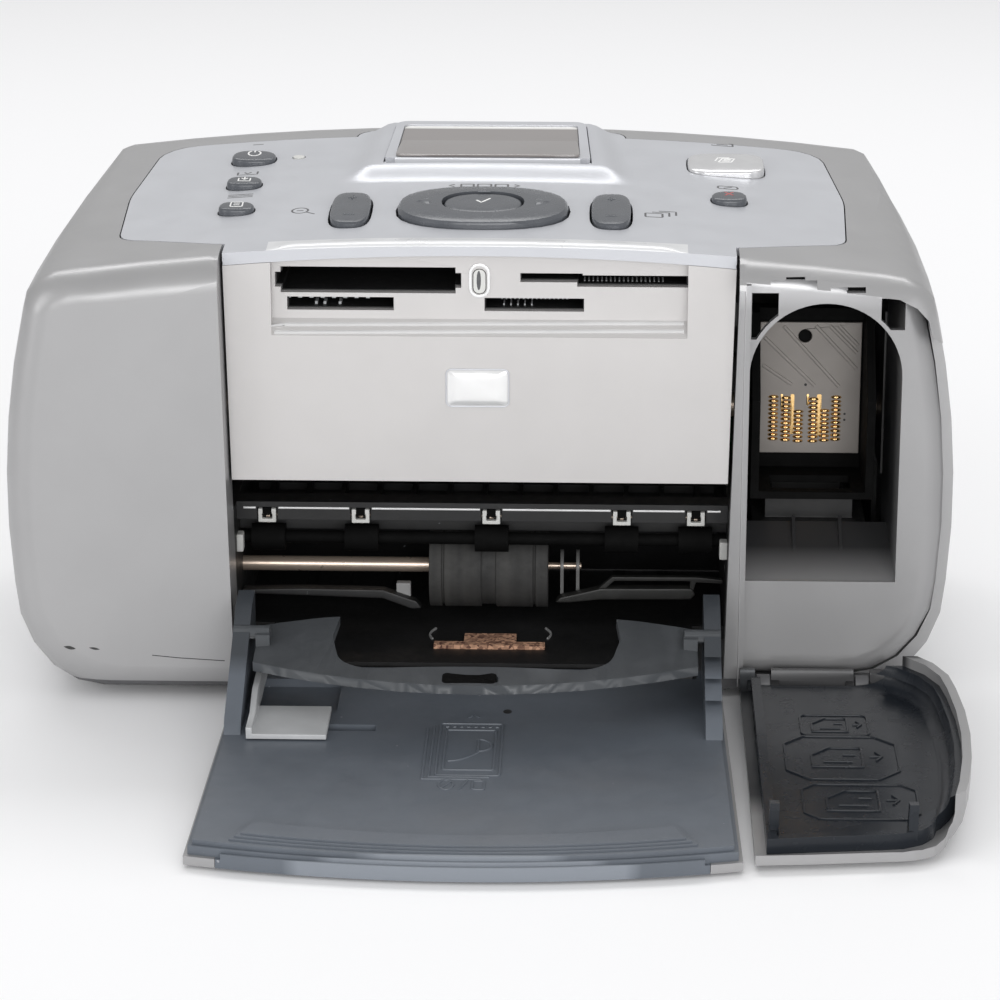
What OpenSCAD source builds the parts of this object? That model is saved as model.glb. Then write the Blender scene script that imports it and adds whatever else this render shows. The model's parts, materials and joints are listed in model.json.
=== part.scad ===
// Compact photo printer, opened for use: folding paper tray with output shelf and
// width guide, cartridge door, tilting display, keys, and a print carriage that
// slides on a rod behind the card slots.
// Millimetres. X to the right, Y to the back, Z up.
// Origin: the surface it stands on, at the middle of the width and of the depth over
// the open tray. Inside the modules y = 0 is the middle of the body's own depth.

/* [Body] */
// Widest width across the side covers
body_w = 220; // [216:1:226]
// Depth from the front skin to the back skin
body_d = 115; // [113:0.5:122]
// Height of the crown at the front skin
crown_h = 108; // [107:0.5:111]
// Rise of the top from front to back
top_rise = 8; // [6:0.5:10]
// Drop of the top from the centre line to the shoulder
shoulder_drop = 5.2; // [4:0.2:6]
// Distance of the shoulder turn from the widest line
shoulder_in = 18; // [16:0.5:20]
// Height of the shoulder turn
shoulder_r = 9.5; // [8:0.5:12]
// Height of the widest line of the side covers
belly_z = 47; // [44:1:50]
// Lean of the sides between the belly and the shoulder
side_lean = 6.4; // [5.6:0.2:7]
// Height of the lower corner sweep
sweep_h = 26; // [22:1:30]
// Width of the lower corner sweep
sweep_w = 20; // [16:1:24]
// Radius of the front edge
front_r = 7; // [6:0.5:8]
// Radius of the rear edge
rear_r = 11; // [9:0.5:13]
// Narrowing of each side toward the back
rear_taper = 5.5; // [4:0.25:6]
// Wall of the covers
wall = 2.4; // [2:0.1:2.8]
// Height of the feet
foot_h = 2; // [1.6:0.2:3]
// Radius of a foot
foot_r = 6; // [4:0.5:8]
// Thickness of the floor pan
pan_t = 2.6; // [2.2:0.2:3]
// Depth of the rear cover
rear_cover_d = 11.5; // [10:0.5:12]
// Gap between covers
seam = 0.3; // [0.2:0.05:0.4]

/* [Front] */
// Half width of the paper mouth and of the tray door
mouth_half = 58; // [57:0.25:58.5]
// Widening of each side of the mouth toward the top, over 100 mm
mouth_lean = 2; // [1:0.25:2.5]
// Setback of the front panel behind the front skin
panel_setback = 7.5; // [7:0.25:8.5]
// Height of the lower edge of the front panel
panel_z0 = 52.5; // [52:0.5:56]
// Drop of the ends of the panel's upper edge below the crown
panel_drop = 4.4; // [4:0.2:6]
// Rise of the panel's upper edge at the middle
panel_arch = 2.6; // [1.6:0.2:2.8]
// Thickness of the front panel
panel_t = 2.2; // [1.8:0.2:2.8]
// Half width of the card recess
recess_half = 47.6; // [47:0.2:50]
// Height of the card recess
recess_h = 16.3; // [13.6:0.5:18]
// Depth of the card recess
recess_d = 3; // [2:0.5:4]
// Width of the wide card slot
slot_a_w = 42.2; // [40:0.2:43]
// Height of the wide card slot
slot_a_h = 5.6; // [5.2:0.2:5.8]
// Step at the ends of the wide card slot
slot_step = 1.3; // [0.8:0.1:1.6]
// Width of the left low card slot
slot_b_w = 24; // [22:0.5:25]
// Height of a thin card slot
slot_thin_h = 2.6; // [2.2:0.1:3]
// Width of the right low card slot
slot_c_w = 22.3; // [21:0.5:24]
// Width of the right top card slot
slot_d_w = 37.8; // [36:0.5:38]
// Depth of the card reader behind the slots
reader_d = 33; // [26:1:36]

/* [Cartridge bay] */
// Setback of the bay face behind the front skin
bay_setback = 8.5; // [8:0.25:9.5]
// Strip between the paper mouth and the bay arch
bay_strip = 4; // [3.6:0.2:4.4]
// Cover left between the bay arch and the widest line
bay_side = 13; // [12:0.5:14]
// Drop of the centre of the arch below the crown
arch_drop = 30; // [29:0.5:32]
// Rim left between the arch and the windows
bay_rim = 0.9; // [0.7:0.1:1.4]
// Height of the front edge of the bay sill
sill_z = 28.5; // [27:0.5:30]
// Rise of the sill toward the back
sill_rise = 8.2; // [6:0.4:9]
// Depth of the sill
sill_d = 20; // [18:0.5:21]
// Clearance round the cartridge door
door_gap = 0.5; // [0.4:0.05:0.6]
// Width of the band of cover left above the cartridge door
brow_band = 4.6; // [4:0.2:5.4]

/* [Doors] */
// Height of both door hinges
hinge_z = 5; // [4.6:0.1:5.4]
// Setback of both door hinges behind the front skin
hinge_setback = 2.5; // [2.4:0.1:3]
// Radius of a hinge pin
pin_r = 1.2; // [1:0.1:1.4]
// Radius of a hinge lug
lug_r = 2.4; // [2.3:0.1:2.6]
// Opening angle of both doors
door_open = 91; // [90:0.5:91.5]
// Drop of the tray door corner below the crown, door closed
tray_drop = 4.8; // [4.2:0.2:7]
// Rise of the tray door edge at the middle
tray_bulge = 7; // [5:0.5:8]
// Thickness of the deck's lip over the front edge of the tray skin
lip_t = 1.2; // [1:0.1:1.6]
// Skin of the doors
skin_t = 2; // [1.6:0.1:2.2]
// Thickness of the tray deck
deck_t = 3; // [2.4:0.1:3]
// Thickness of a tray arm
arm_t = 3.8; // [3:0.2:4.4]
// Height of the tray arms above the deck
arm_h = 20; // [17:0.5:21]
// Length of the tray arms
arm_l = 40; // [34:1:42]

/* [Output shelf] */
// Clearance between the shelf and each tray arm
shelf_gap = 1.5; // [1.3:0.1:3]
// Height of the shelf pivot above the surface
shelf_pivot_z = 22; // [21:0.5:23]
// Distance of the shelf pivot in front of the hinge
shelf_pivot_y = 13.5; // [12:0.5:15]
// Reach of the shelf in front of its pivot
shelf_reach = 29; // [26:0.5:29.5]
// Thickness of the shelf
shelf_t = 2.2; // [1.8:0.1:2.4]
// Half width of the shelf cut-out
shelf_cut_half = 33; // [30:0.5:36]
// Fall of the shelf toward its front edge
shelf_fall = 5; // [3:0.5:6]

/* [Width guide] */
// Width of the guide foot
guide_w = 18; // [15:0.5:20]
// Length of the guide foot
guide_l = 17; // [14:0.5:20]
// Height of the guide wall above the deck
guide_h = 6; // [4:0.5:6.5]
// Length of the guide wall
guide_wall_l = 38; // [34:1:38]
// Travel of the guide
guide_travel = 13; // [10:1:14]

/* [Paper path] */
// Height of the paper bed
bed_z = 8; // [7.4:0.2:8.4]
// Radius of the pick drum
drum_r = 10; // [9:0.25:10.4]
// Width of the pick drum
drum_w = 28.5; // [24:0.5:30]
// Radius of the pick shaft
shaft_r = 1.8; // [1.5:0.1:2.2]
// Setback of the pick shaft behind the front skin
shaft_setback = 35.5; // [35:0.5:38]
// Height of the pick shaft
shaft_z = 22.5; // [22:0.25:23]
// Setback of the star wheel bar behind the front skin
star_setback = 22.3; // [22:0.1:23]
// Depth of the star wheel bar
star_bar_d = 6.8; // [6.6:0.1:7]
// Height of the star wheel bar
star_bar_h = 4.4; // [4:0.1:4.5]
// Radius of a star wheel
star_r = 2.2; // [1.9:0.1:2.3]
// Radius of the output roller collars
out_r = 3.2; // [2.8:0.1:3.3]
// Height of the output roller
out_z = 32.6; // [32:0.1:32.8]
// Radius of the feed roller
feed_r = 5; // [4.5:0.1:5.4]
// Running fit of a shaft in its bore, on the radius
run_fit = 0.06; // [0.03:0.01:0.1]

/* [Carriage] */
// Clearance between the carriage cradle and each side of the arch
cradle_gap = 3; // [2.75:0.25:3.5]
// Wall of the cradle
cradle_t = 2; // [1.6:0.1:2.2]
// Height of the underside of the cradle
cradle_z0 = 44; // [43.6:0.2:45]
// Drop of the top of the cradle below the crown
cradle_drop = 22; // [21:0.5:24]
// Setback of the cradle's front behind the front skin
cradle_setback = 23; // [22.4:0.2:24]
// Depth of the cartridge pocket
pocket_d = 20; // [18:0.5:21]
// Radius of the guide rod
rod_r = 3; // [2.6:0.1:3.4]
// Travel of the carriage
carriage_travel = 122; // [110:1:124]
// Radius of the belt pulleys
pulley_r = 5; // [4.5:0.1:5.5]

/* [Keys] */
// Clearance round each key
key_gap = 0.3; // [0.25:0.05:0.4]
// Clearance round each rocking key
rock_gap = 0.5; // [0.4:0.05:0.6]
// Height that the keys stand proud
key_proud = 1.6; // [1.2:0.1:2]
// Travel of a push key
key_travel = 0.6; // [0.4:0.1:0.8]
// Half width of the four way pad
pad_a = 20; // [18:0.5:21]
// Half depth of the four way pad
pad_b = 14.5; // [13:0.5:15]
// Half width of the centre key
ok_a = 9.2; // [8:0.2:10]
// Half depth of the centre key
ok_b = 7.6; // [6.6:0.2:8]
// Half width of a rocker
rocker_a = 4.6; // [4:0.2:5]
// Half depth of a rocker
rocker_b = 12; // [10:0.5:12.5]
// Radius of the pivot bar under a rocking key
pivot_r = 1.2; // [0.9:0.1:1.4]

/* [Display] */
// Half width of the display frame at its hinge
disp_half = 25; // [24:0.5:26]
// Depth of the display frame
disp_d = 34; // [31:0.5:35]
// Thickness of the display frame
disp_t = 4.4; // [4:0.2:5]
// Height of the display bulge over the panel
disp_proud = 2.6; // [2:0.2:3]
// Width of the bulge's shoulders
bulge_shoulder = 7; // [6:0.5:8]
// Depth of the ramp in front of the display
bulge_ramp = 8; // [6:0.5:9]

/* [Hidden] */
$fn = 48;
eps = 0.01;
front_y = -body_d/2;
rear_y = body_d/2;
split_y = rear_y - rear_cover_d;
shoulder_half = body_w/2 - shoulder_in;
panel_z1 = crown_h - panel_drop;
recess_z = panel_z1 - recess_h;
arch_r = (body_w/2 - bay_side - mouth_half - bay_strip)/2;
arch_x = mouth_half + bay_strip + arch_r;
arch_z = crown_h - arch_drop;
bay_x0 = mouth_half + bay_strip - 1.6;
tray_z1 = crown_h - tray_drop;
arm_x = mouth_half - 4;
shelf_half = arm_x - arm_t/2 - shelf_gap;
guide_x = -mouth_half + 7.4;
cradle_w = 2*(arch_r - cradle_gap);
cradle_x = arch_x - cradle_w/2 - 1.6;
cradle_z1 = crown_h - cradle_drop;
tray_lug_x = mouth_half - 9.5;
door_lugs = [mouth_half + 8.5, body_w/2 - 20.5];
foot_x = body_w/2 - 32;
screw_x = body_w/2 - 44;
panel_y = front_y + panel_setback;
pan_top = foot_h + pan_t;
hinge_y = front_y + hinge_setback;
pivot_y = hinge_y - shelf_pivot_y;
deck_top = hinge_z - hinge_setback + skin_t + deck_t;
star_y = front_y + star_setback;
star_bar_z1 = star_bar_z0() + star_bar_h;
star_z = out_z + out_r + star_r + seam;
shaft_y = front_y + shaft_setback;
roll_y = star_y + star_bar_d/2;
cradle_y = front_y + cradle_setback;
back_y = cradle_y + pocket_d;
rod_y = back_y + 18;
rod_z = 56;
platen_y0 = star_y + star_bar_d + 0.8;
feed_y = rear_y - 49.5;
platen_y1 = feed_y - 7;
feed_z = 33.6;
side_x0 = mouth_half + 0.2;
side_t = 2;
belt_y = rod_y + 11;
belt_z = cradle_z1 - 16;
belt_w = 4;
strip_z = cradle_z1 - 12;
frame_x0 = -body_w/2 + 28;
frame_x1 = body_w/2 - 15;
motor_x = frame_x0 + 16;
idler_x = frame_x1 - 7;
frame_t = 1.2;
frame_y = rear_y - 16.5;
board_y = frame_y + 5;
slope = atan(top_rise/body_d);
// Front and middle of the whole, with the tray open
reach_y = hinge_y - (tray_z1 + tray_bulge - hinge_z)*sin(door_open) - (hinge_setback - skin_t - lip_t)*cos(door_open);
mid_y = (reach_y + rear_y)/2;
taper_y = front_y + 17.5;

function star_bar_z0() = 38;

// Half width of the side at a depth, before its lean
function half_w(y) = body_w/2 - rear_taper*pow(max(0, y - taper_y)/80, 2);
// Side of the outline at a height
function side_x(y, z, i) = half_w(y) - i - side_lean*pow((z - belly_z)/50, 2);
// Height of the top
function top_z(x, y) = crown_h + top_rise*(y - front_y)/body_d
  - shoulder_drop*pow(abs(x)/shoulder_half, 2.2);

// Right half of the cross section at depth y, drawn in by i, from the bottom to the crown
function half_ring(y, i) = let(
    zc = foot_h + sweep_h, cx = side_x(y, zc, i) - sweep_w, zb = foot_h + i,
    xt = shoulder_half - i, zt = top_z(shoulder_half, y) - shoulder_r,
    zk = top_z(xt, y) - i, sx = side_x(y, zt, i))
  concat(
    [for (t = [0:18:90]) [cx + sweep_w*sin(t), zc - (zc - zb)*cos(t)]],
    [for (k = [1:4]) let(z = zc + (zt - zc)*k/5) [side_x(y, z, i), z]],
    [for (t = [0:22.5:90]) [xt + (sx - xt)*cos(t), zt + (zk - zt)*sin(t)]],
    [for (k = [1:6]) let(x = xt*(1 - k/6)) [x, top_z(x, y) - i]]);
function ring(y, i) = let(h = half_ring(y, i), n = len(h)) concat(
  [for (p = h) [p.x, y, p.y]],
  [for (k = [n - 2:-1:0]) [-h[k].x, y, h[k].y]]);

// Stations along the depth: depth and inset, with round front and rear edges
function stations(i, f) = let(rf = max(1, front_r - (i < front_r ? i : 0)), rr = max(1, rear_r - i))
  concat(
    [for (t = [0:22.5:90]) [front_y + f + rf*(1 - cos(t)), i + rf*(1 - sin(t))]],
    [for (y = [front_y + 21.5, -12, 12, rear_y - 25.5]) [y, i]],
    [for (t = [90:-22.5:0]) [rear_y - i - rr*(1 - cos(t)), i + rr*(1 - sin(t))]]);

// Half width of the mouth at a height
function mouth_x(z) = mouth_half + mouth_lean*(z - belly_z)/100;
// Front view of the mouth between two heights, drawn in by d
module mouth_face(d, z0, z1) {
  polygon([[-mouth_x(z0) + d, z0], [mouth_x(z0) - d, z0], [mouth_x(z1) - d, z1], [-mouth_x(z1) + d, z1]]);
}

// Closed form of the body, drawn in by i, with its front face f behind the front skin
module body_form(i = 0, f = undef) {
  st = stations(i, f == undef ? i : f);
  rings = [for (s = st) ring(s[0], s[1])];
  n = len(rings[0]);
  m = len(rings);
  polyhedron(
    points = [for (r = rings) for (p = r) p],
    faces = concat(
      [[for (k = [n - 1:-1:0]) k]],
      [for (j = [0:m - 2]) for (k = [0:n - 1]) let(a = j*n + k, b = j*n + (k + 1) % n)
        each [[a, b, a + n], [b, b + n, a + n]]],
      [[for (k = [0:n - 1]) (m - 1)*n + k]]));
}

// One moulded skin, carried as a single fine mesh
module moulded() {
  resize([0, 0, 0]) children();
}

// Polygon with a round at every corner: points p, radii r, s steps a corner
function unit(v) = v/norm(v);
function rounded(p, r, s = 4) = let(n = len(p)) [for (k = [0:n - 1]) let(
    a = unit(p[(k + n - 1) % n] - p[k]), b = unit(p[(k + 1) % n] - p[k]),
    h = acos(a*b)/2, c = p[k] + unit(a + b)*r[k]/sin(h),
    u = p[k] + a*r[k]/tan(h) - c, w = p[k] + b*r[k]/tan(h) - c,
    t0 = atan2(u.y, u.x), d0 = atan2(w.y, w.x) - t0,
    d = d0 > 180 ? d0 - 360 : (d0 < -180 ? d0 + 360 : d0))
  each (r[k] <= 0 ? [p[k]] : [for (q = [0:s]) c + r[k]*[cos(t0 + d*q/s), sin(t0 + d*q/s)]])];
// Superellipse outline
function squircle(a, b, e = 2.6, n = 28) = [for (k = [0:n - 1]) let(t = 360*k/n)
  [a*sign(cos(t))*pow(abs(cos(t)), 2/e), b*sign(sin(t))*pow(abs(sin(t)), 2/e)]];

module slab(x0, x1, y0, y1, z0, z1) {
  translate([x0, y0, z0]) cube([x1 - x0, y1 - y0, z1 - z0]);
}
module xz_prism(y0, y1) {
  translate([0, y1, 0]) rotate([90, 0, 0]) linear_extrude(y1 - y0) children();
}
module yz_prism(x0, x1) {
  translate([x0, 0, 0]) rotate([90, 0, 90]) linear_extrude(x1 - x0) children();
}
module x_rod(r, x0, x1, y, z) {
  translate([x0, y, z]) rotate([0, 90, 0]) cylinder(r = r, h = x1 - x0);
}
module y_rod(r, y0, y1, x, z) {
  translate([x, y1, z]) rotate([90, 0, 0]) cylinder(r = r, h = y1 - y0);
}
// Puts the middle of the whole depth on the origin
module placed() {
  translate([0, -mid_y, 0]) children();
}
// Turns the closed door forward about the hinge line
module swung(a = door_open) {
  translate([0, hinge_y, hinge_z]) rotate([a, 0, 0]) translate([0, -hinge_y, -hinge_z]) children();
}
// Lays what is drawn level on the open tray at the tray's true angle
module laid() {
  swung(door_open - 90) children();
}
module both() {
  children();
  mirror([1, 0, 0]) children();
}
// Lays a flat drawing on the sloping top at x, y
module on_top(x, y, lift = 0) {
  translate([x, y, top_z(x, y)]) rotate([slope, 0, 0]) translate([0, 0, lift]) children();
}

// Seam of the cartridge door in the front view: the cover outline lowered by the band
module door_seam(grow = 0) {
  h = half_ring(front_y + front_r, 0);
  x0 = bay_x0 + 0.7;
  polygon(concat(
    [[x0 - grow, hinge_z - 1.8], [body_w, hinge_z - 1.8], [body_w, belly_z]],
    [for (p = h) if (p.y > belly_z && p.x - 2 + grow > x0 - grow + 1)
      [p.x + (p.y > crown_h - 23 ? -2 : 9) + grow, p.y - brow_band + grow]],
    [[x0 - grow, top_z(x0, front_y + front_r) - brow_band + grow]]));
}
// Plan of the control panel
module panel_plan(d = 0) {
  yb = split_y - 5.5;
  yc = front_y + 24;
  w = body_w/2 - 24;
  mx = mouth_x(panel_z1);
  p = [[-w + 1.5 + d, yc + d], [-w + d, 0], [-w + 4 + d, yb - d], [w - 4 - d, yb - d], [w - d, 0],
    [w - 1.5 - d, yc + d], [mx + 2, front_y + 14.7 + d], [mx - seam*2, front_y + 14.2 + d],
    [mx - seam*2, panel_y], [-mx + seam*2, panel_y],
    [-mx + seam*2, front_y + 14.2 + d], [-mx - 2, front_y + 14.7 + d]];
  polygon(rounded(p, [6, 60, 9, 9, 60, 6, 0, 0, 0, 0, 0, 0]));
}
// Plan of the raised bulge round the display
module bulge_plan(d = 0) {
  polygon(rounded([[-36 + d, bulge_y + d], [36 - d, bulge_y + d], [33.5 - d, split_y - 1 - d],
    [-33.5 + d, split_y - 1 - d]], [5, 5, 4, 4]));
}
// Smooth step from 0 to 1
function ease(t) = let(u = min(1, max(0, t))) u*u*(3 - 2*u);
// Half width of the bulge between its shoulders, narrower toward the back
function bulge_half(y) = disp_half + 6.4 - 3.4*(y - disp_y0)/disp_d;
// Height of the control panel: the body's top with the bulge, its S-shaped shoulders and its ramp
function panel_z(x, y) = top_z(x, y)
  + disp_proud*ease((bulge_half(y) - abs(x))/bulge_shoulder + 0.5)
  *ease((y - disp_y0 + 0.4 + bulge_ramp)/bulge_ramp)*ease((split_y - 0.6 - y)/2.4);
// Solid under the control panel's surface, lowered by t
module panel_form(t = 0) {
  xs = [for (x = concat([0, 12, 22], [for (k = [0:8]) 24.5 + 1.6*k], [44, 52, 61, 70, 79, 88])) x];
  px = concat([for (k = [len(xs) - 1:-1:1]) -xs[k]], xs);
  py = concat([front_y + 6, front_y + 20, front_y + 34, front_y + 48], [for (k = [0:8]) disp_y0 - 0.4 - bulge_ramp + bulge_ramp*k/8],
    [disp_y0 + 12, disp_y0 + 24, split_y - 4], [for (k = [0:4]) split_y - 3 + 0.6*k], [split_y + 1]);
  nx = len(px);
  ny = len(py);
  m = nx*ny;
  polyhedron(
    points = concat([for (y = py) for (x = px) [x, y, panel_z(x, y) - t]],
      [for (y = py) for (x = px) [x, y, crown_h - 24 - t]]),
    faces = concat(
      [for (j = [0:ny - 2]) for (i = [0:nx - 2]) let(a = j*nx + i) each [[a, a + nx, a + 1], [a + 1, a + nx, a + nx + 1],
        [m + a, m + a + 1, m + a + nx], [m + a + 1, m + a + nx + 1, m + a + nx]]],
      [for (i = [0:nx - 2]) let(a = i, b = (ny - 1)*nx + i) each [[a, a + 1, m + a + 1, m + a], [b + 1, b, m + b, m + b + 1]]],
      [for (j = [0:ny - 2]) let(a = j*nx, b = j*nx + nx - 1) each [[a + nx, a, m + a, m + a + nx],
        [b, b + nx, m + b + nx, m + b]]]));
}

module base_pan() color("dimgray") placed() {
  difference() {
    intersection() {
      body_form();
      slab(-body_w, body_w, front_y, rear_y, foot_h - 1, pan_top);
    }
    slab(-mouth_half - 0.2, mouth_half + 0.2, front_y - 1, hinge_y + 3.8, 0, 20);
    slab(mouth_half, body_w, front_y - 1, hinge_y + 4.8, 0, 20);
    both() for (y = [front_y + 19.5, rear_y - 17.5]) translate([screw_x, y, foot_h]) {
      translate([0, 0, -1]) cylinder(r = 1.6, h = 9);
      translate([0, 0, -1]) cylinder(r = 3.2, h = 2.2);
    }
  }
  for (x = [-tray_lug_x, tray_lug_x]) hinge_lug(x - 1.5, x + 1.5, hinge_y + 3.8 + eps);
  for (x = door_lugs) hinge_lug(x - 1.5, x + 1.5, hinge_y + 4.8 + eps);
}
module hinge_lug(x0, x1, y1) {
  difference() {
    union() {
      x_rod(lug_r, x0, x1, hinge_y, hinge_z);
      slab(x0, x1, hinge_y, y1, hinge_z - lug_r, hinge_z - 0.4);
    }
    x_rod(pin_r + run_fit, x0 - 1, x1 + 1, hinge_y, hinge_z);
  }
}
module feet() color("#2b2b2b") placed() {
  both() for (y = [front_y + 21.5, rear_y - 19.5]) translate([foot_x, y, 0]) {
    cylinder(r1 = foot_r - 0.6, r2 = foot_r, h = foot_h);
  }
}
module screws() color("silver") placed() {
  both() for (y = [front_y + 19.5, rear_y - 17.5]) translate([screw_x, y, foot_h]) difference() {
    union() {
      cylinder(r = 3, h = 1.2);
      cylinder(r = 1.5, h = pan_t);
    }
    for (a = [0, 90]) rotate([0, 0, a]) slab(-1.8, 1.8, -0.35, 0.35, -1, 0.7);
  }
}

module housing() color("silver") placed() {
  moulded() difference() {
    union() {
      difference() {
        body_form();
        body_form(wall);
      }
      // return wall beside the mouth
      intersection() {
        body_form(0.4);
        xz_prism(front_y, front_y + 13) translate([-side_t - 0.2, 0]) mouth_face(0, pan_top, panel_z1 + 0.4);
        slab(-body_w, 0, front_y - 1, front_y + 14, 0, crown_h);
      }
    }
    slab(-body_w, body_w, split_y, rear_y + 1, -1, 150);
    slab(-body_w, body_w, front_y - 1, rear_y, -1, pan_top + eps);
    xz_prism(front_y - 1, front_y + 20) mouth_face(0, -1, 150);
    slab(mouth_half - 1, bay_x0, front_y - 1, front_y + 12, -1, crown_h - 7.6);
    xz_prism(front_y - 1, front_y + 11.3 + door_gap) door_seam(door_gap);
    // latch notches in the band above the cartridge door
    for (n = [[8, 18.5, 1.5], [11.5, 15.8, 2.2], [21.5, 29.5, 1.3]]) let(x = mouth_half + n[0])
      slab(x, mouth_half + n[1], front_y - 1, front_y + 9, crown_h - 8, top_z((x + mouth_half + n[1])/2, front_y + front_r)
        - brow_band + door_gap + n[2] - 0.3);
    translate([0, 0, crown_h - 18]) linear_extrude(60) panel_plan();
    translate([0, 0, crown_h - 18]) linear_extrude(60) bulge_plan();
  }
}
module rear_cover() color("silver") placed() {
  moulded() difference() {
    intersection() {
      difference() {
        body_form();
        body_form(wall);
      }
      slab(-body_w, body_w, split_y + 0.02, rear_y + 1, pan_top + 0.02, 150);
    }
    y_rod(4.2, rear_y - 8, rear_y + 1, -72, 24);
    slab(-54.4, -41.6, rear_y - 8, rear_y + 1, 18, 29.4);
    slab(10 - seam, 66 + seam, rear_y - 8, rear_y + 1, 14 - seam, 62 + seam);
    for (k = [0:7]) slab(-60 + k*8, -56 + k*8, rear_y - 5, rear_y + 1, 66, 84);
  }
  // ledge inside the battery opening
  difference() {
    slab(8, 68, rear_y - wall - 1.5, rear_y - wall - eps, 12, 64);
    slab(12, 64, rear_y - 8, rear_y, 16, 60);
  }
}
module battery_cover() color("gray") placed() {
  difference() {
    slab(10, 66, rear_y - wall, rear_y - 0.1, 14, 62);
    for (k = [0:4]) slab(28, 48, rear_y - 0.8, rear_y, 50 + k*2, 50.9 + k*2);
  }
}

// The keys: name, x, y, half width, half depth
disp_y0 = split_y - 38;
bulge_y = disp_y0 - 5.4;
key_x = body_w/2 - 52;
pad_y = (panel_y + bulge_y)/2 + 1.2;
k_power = [-key_x, disp_y0 + 15, 5.4, 4.4];
k_save = [-key_x - 0.4, disp_y0 - 6, 4.2, 3.4];
k_menu = [-key_x - 0.3, pad_y + 4, 4.2, 3.4];
k_print = [key_x, disp_y0 + 12, 9.4, 8];
k_cancel = [key_x, pad_y + 14.5, 4.2, 3.8];
k_pad = [0, pad_y, pad_a, pad_b];
k_ok = [0, pad_y, ok_a, ok_b];
k_zoom = [-31, pad_y - 0.5, rocker_a, rocker_b];
k_copies = [30, pad_y - 0.5, rocker_a, rocker_b];
lamp_at = [-key_x + 11, disp_y0 + 16];
board_y0 = front_y + 27.5;
board_y1 = split_y - 10;

module key_hole(k, e = 2.6, g = key_gap) {
  on_top(k[0], k[1], -12) linear_extrude(24) polygon(squircle(k[2] + g, k[3] + g, e));
}
// Domed key: a straight stem with a crowned cap
module key_cap(k, e = 2.6, crown = 0.9, proud = key_proud, depth = 2.6) {
  n = 28;
  lev = [[-depth, 1], [proud - crown, 1], [proud - crown*0.45, 0.97], [proud - crown*0.1, 0.86], [proud, 0.6]];
  pts = [for (l = lev) for (p = squircle(k[2], k[3], e, n)) [p.x*l[1], p.y*l[1], l[0]]];
  m = len(lev);
  on_top(k[0], k[1]) polyhedron(points = pts, faces = concat(
    [[for (q = [0:n - 1]) q]],
    [for (j = [0:m - 2]) for (q = [0:n - 1]) let(a = j*n + q, b = j*n + (q + 1) % n)
      each [[a, a + n, b], [b, a + n, b + n]]],
    [[for (q = [n - 1:-1:0]) (m - 1)*n + q]]));
}

module control_panel() color("lightgray") placed() {
  moulded() difference() {
    union() {
      intersection() {
        difference() {
          panel_form();
          panel_form(wall - 0.4);
        }
        translate([0, 0, crown_h - 18]) linear_extrude(60) union() {
          panel_plan(seam);
          bulge_plan(seam);
        }
      }
      // bosses that carry the keypad board
      for (x = [8 - key_x, key_x - 8], y = [board_y0 + 4, board_y1 - 4]) intersection() {
        panel_form(1);
        translate([x, y, top_z(0, y) - shoulder_drop*0.45 - key_drop]) rotate([slope, 0, 0]) slab(-1.5, 1.5, -1.5, 1.5, 0, 9);
      }
      // bosses round the display's pins
      for (s = [-1, 1]) intersection() {
        panel_form(0.5);
        disp_place() translate([s*(disp_half + 2), disp_pin, 0]) slab(-1.6, 1.6, -2, 2, 0.5 - disp_pin - disp_pin_r - 1.2, 2);
      }
      // brow over the card recess
      intersection() {
        panel_form();
        xz_prism(panel_y, panel_y + 3) polygon(concat([[mouth_x(panel_z1) - 0.7, 150], [-mouth_x(panel_z1) + 0.7, 150]],
          arched(mouth_x(panel_z1) - 0.7, 0.1)));
      }
    }
    display_well();
    for (k = [k_power, k_save, k_menu, k_cancel]) key_hole(k);
    key_hole(k_print, 4);
    key_hole(k_pad, 2.4, rock_gap);
    key_hole(k_zoom, 3.2, rock_gap);
    key_hole(k_copies, 3.2, rock_gap);
    on_top(lamp_at.x, lamp_at.y, -8) cylinder(r = 1.7, h = 16);
    disp_place() x_rod(disp_pin_r + run_fit, -disp_half - 1.9, disp_half + 1.9, disp_pin, 0.5 - disp_pin);
  }
}
disp_pin = 2;
disp_pin_r = 0.8;
key_drop = 3.2;
module disp_place(lift = 0) {
  translate([0, disp_y0, top_z(0, disp_y0) + disp_proud]) rotate([slope, 0, 0]) translate([0, 0, lift]) children();
}
module disp_plan(d = 0, corner = 2.5) {
  polygon(rounded([[-disp_half - d, -d], [disp_half + d, -d], [disp_half - 1.5 + d, disp_d + d],
    [-disp_half + 1.5 - d, disp_d + d]], [corner + d, corner + d, 3 + d, 3 + d]));
}
module display_well() {
  disp_place(-9) linear_extrude(20) union() {
    disp_plan(seam, 0.6);
    translate([0, 0.6]) disp_plan(seam, 0.6);
  }
}
module display_frame() color("darkgray") placed() {
  disp_place(-disp_t + 0.5) difference() {
    union() {
      difference() {
        linear_extrude(disp_t) disp_plan();
        // the front edge is round about the hinge
        slab(-60, 60, -1, disp_pin, disp_t - disp_pin, disp_t + 1);
      }
      x_rod(disp_pin, -disp_half + 2.5, disp_half - 2.5, disp_pin, disp_t - disp_pin);
      x_rod(disp_pin_r, -disp_half - 1.6, disp_half + 1.6, disp_pin, disp_t - disp_pin);
    }
    translate([0, 0, disp_t - 1.4]) linear_extrude(5)
      polygon(rounded([[-disp_half + 2.6, 3.4], [disp_half - 2.6, 3.4], [disp_half - 3.4, disp_d - 3],
        [-disp_half + 3.4, disp_d - 3]], [1.5, 1.5, 1.5, 1.5]));
  }
}
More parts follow.
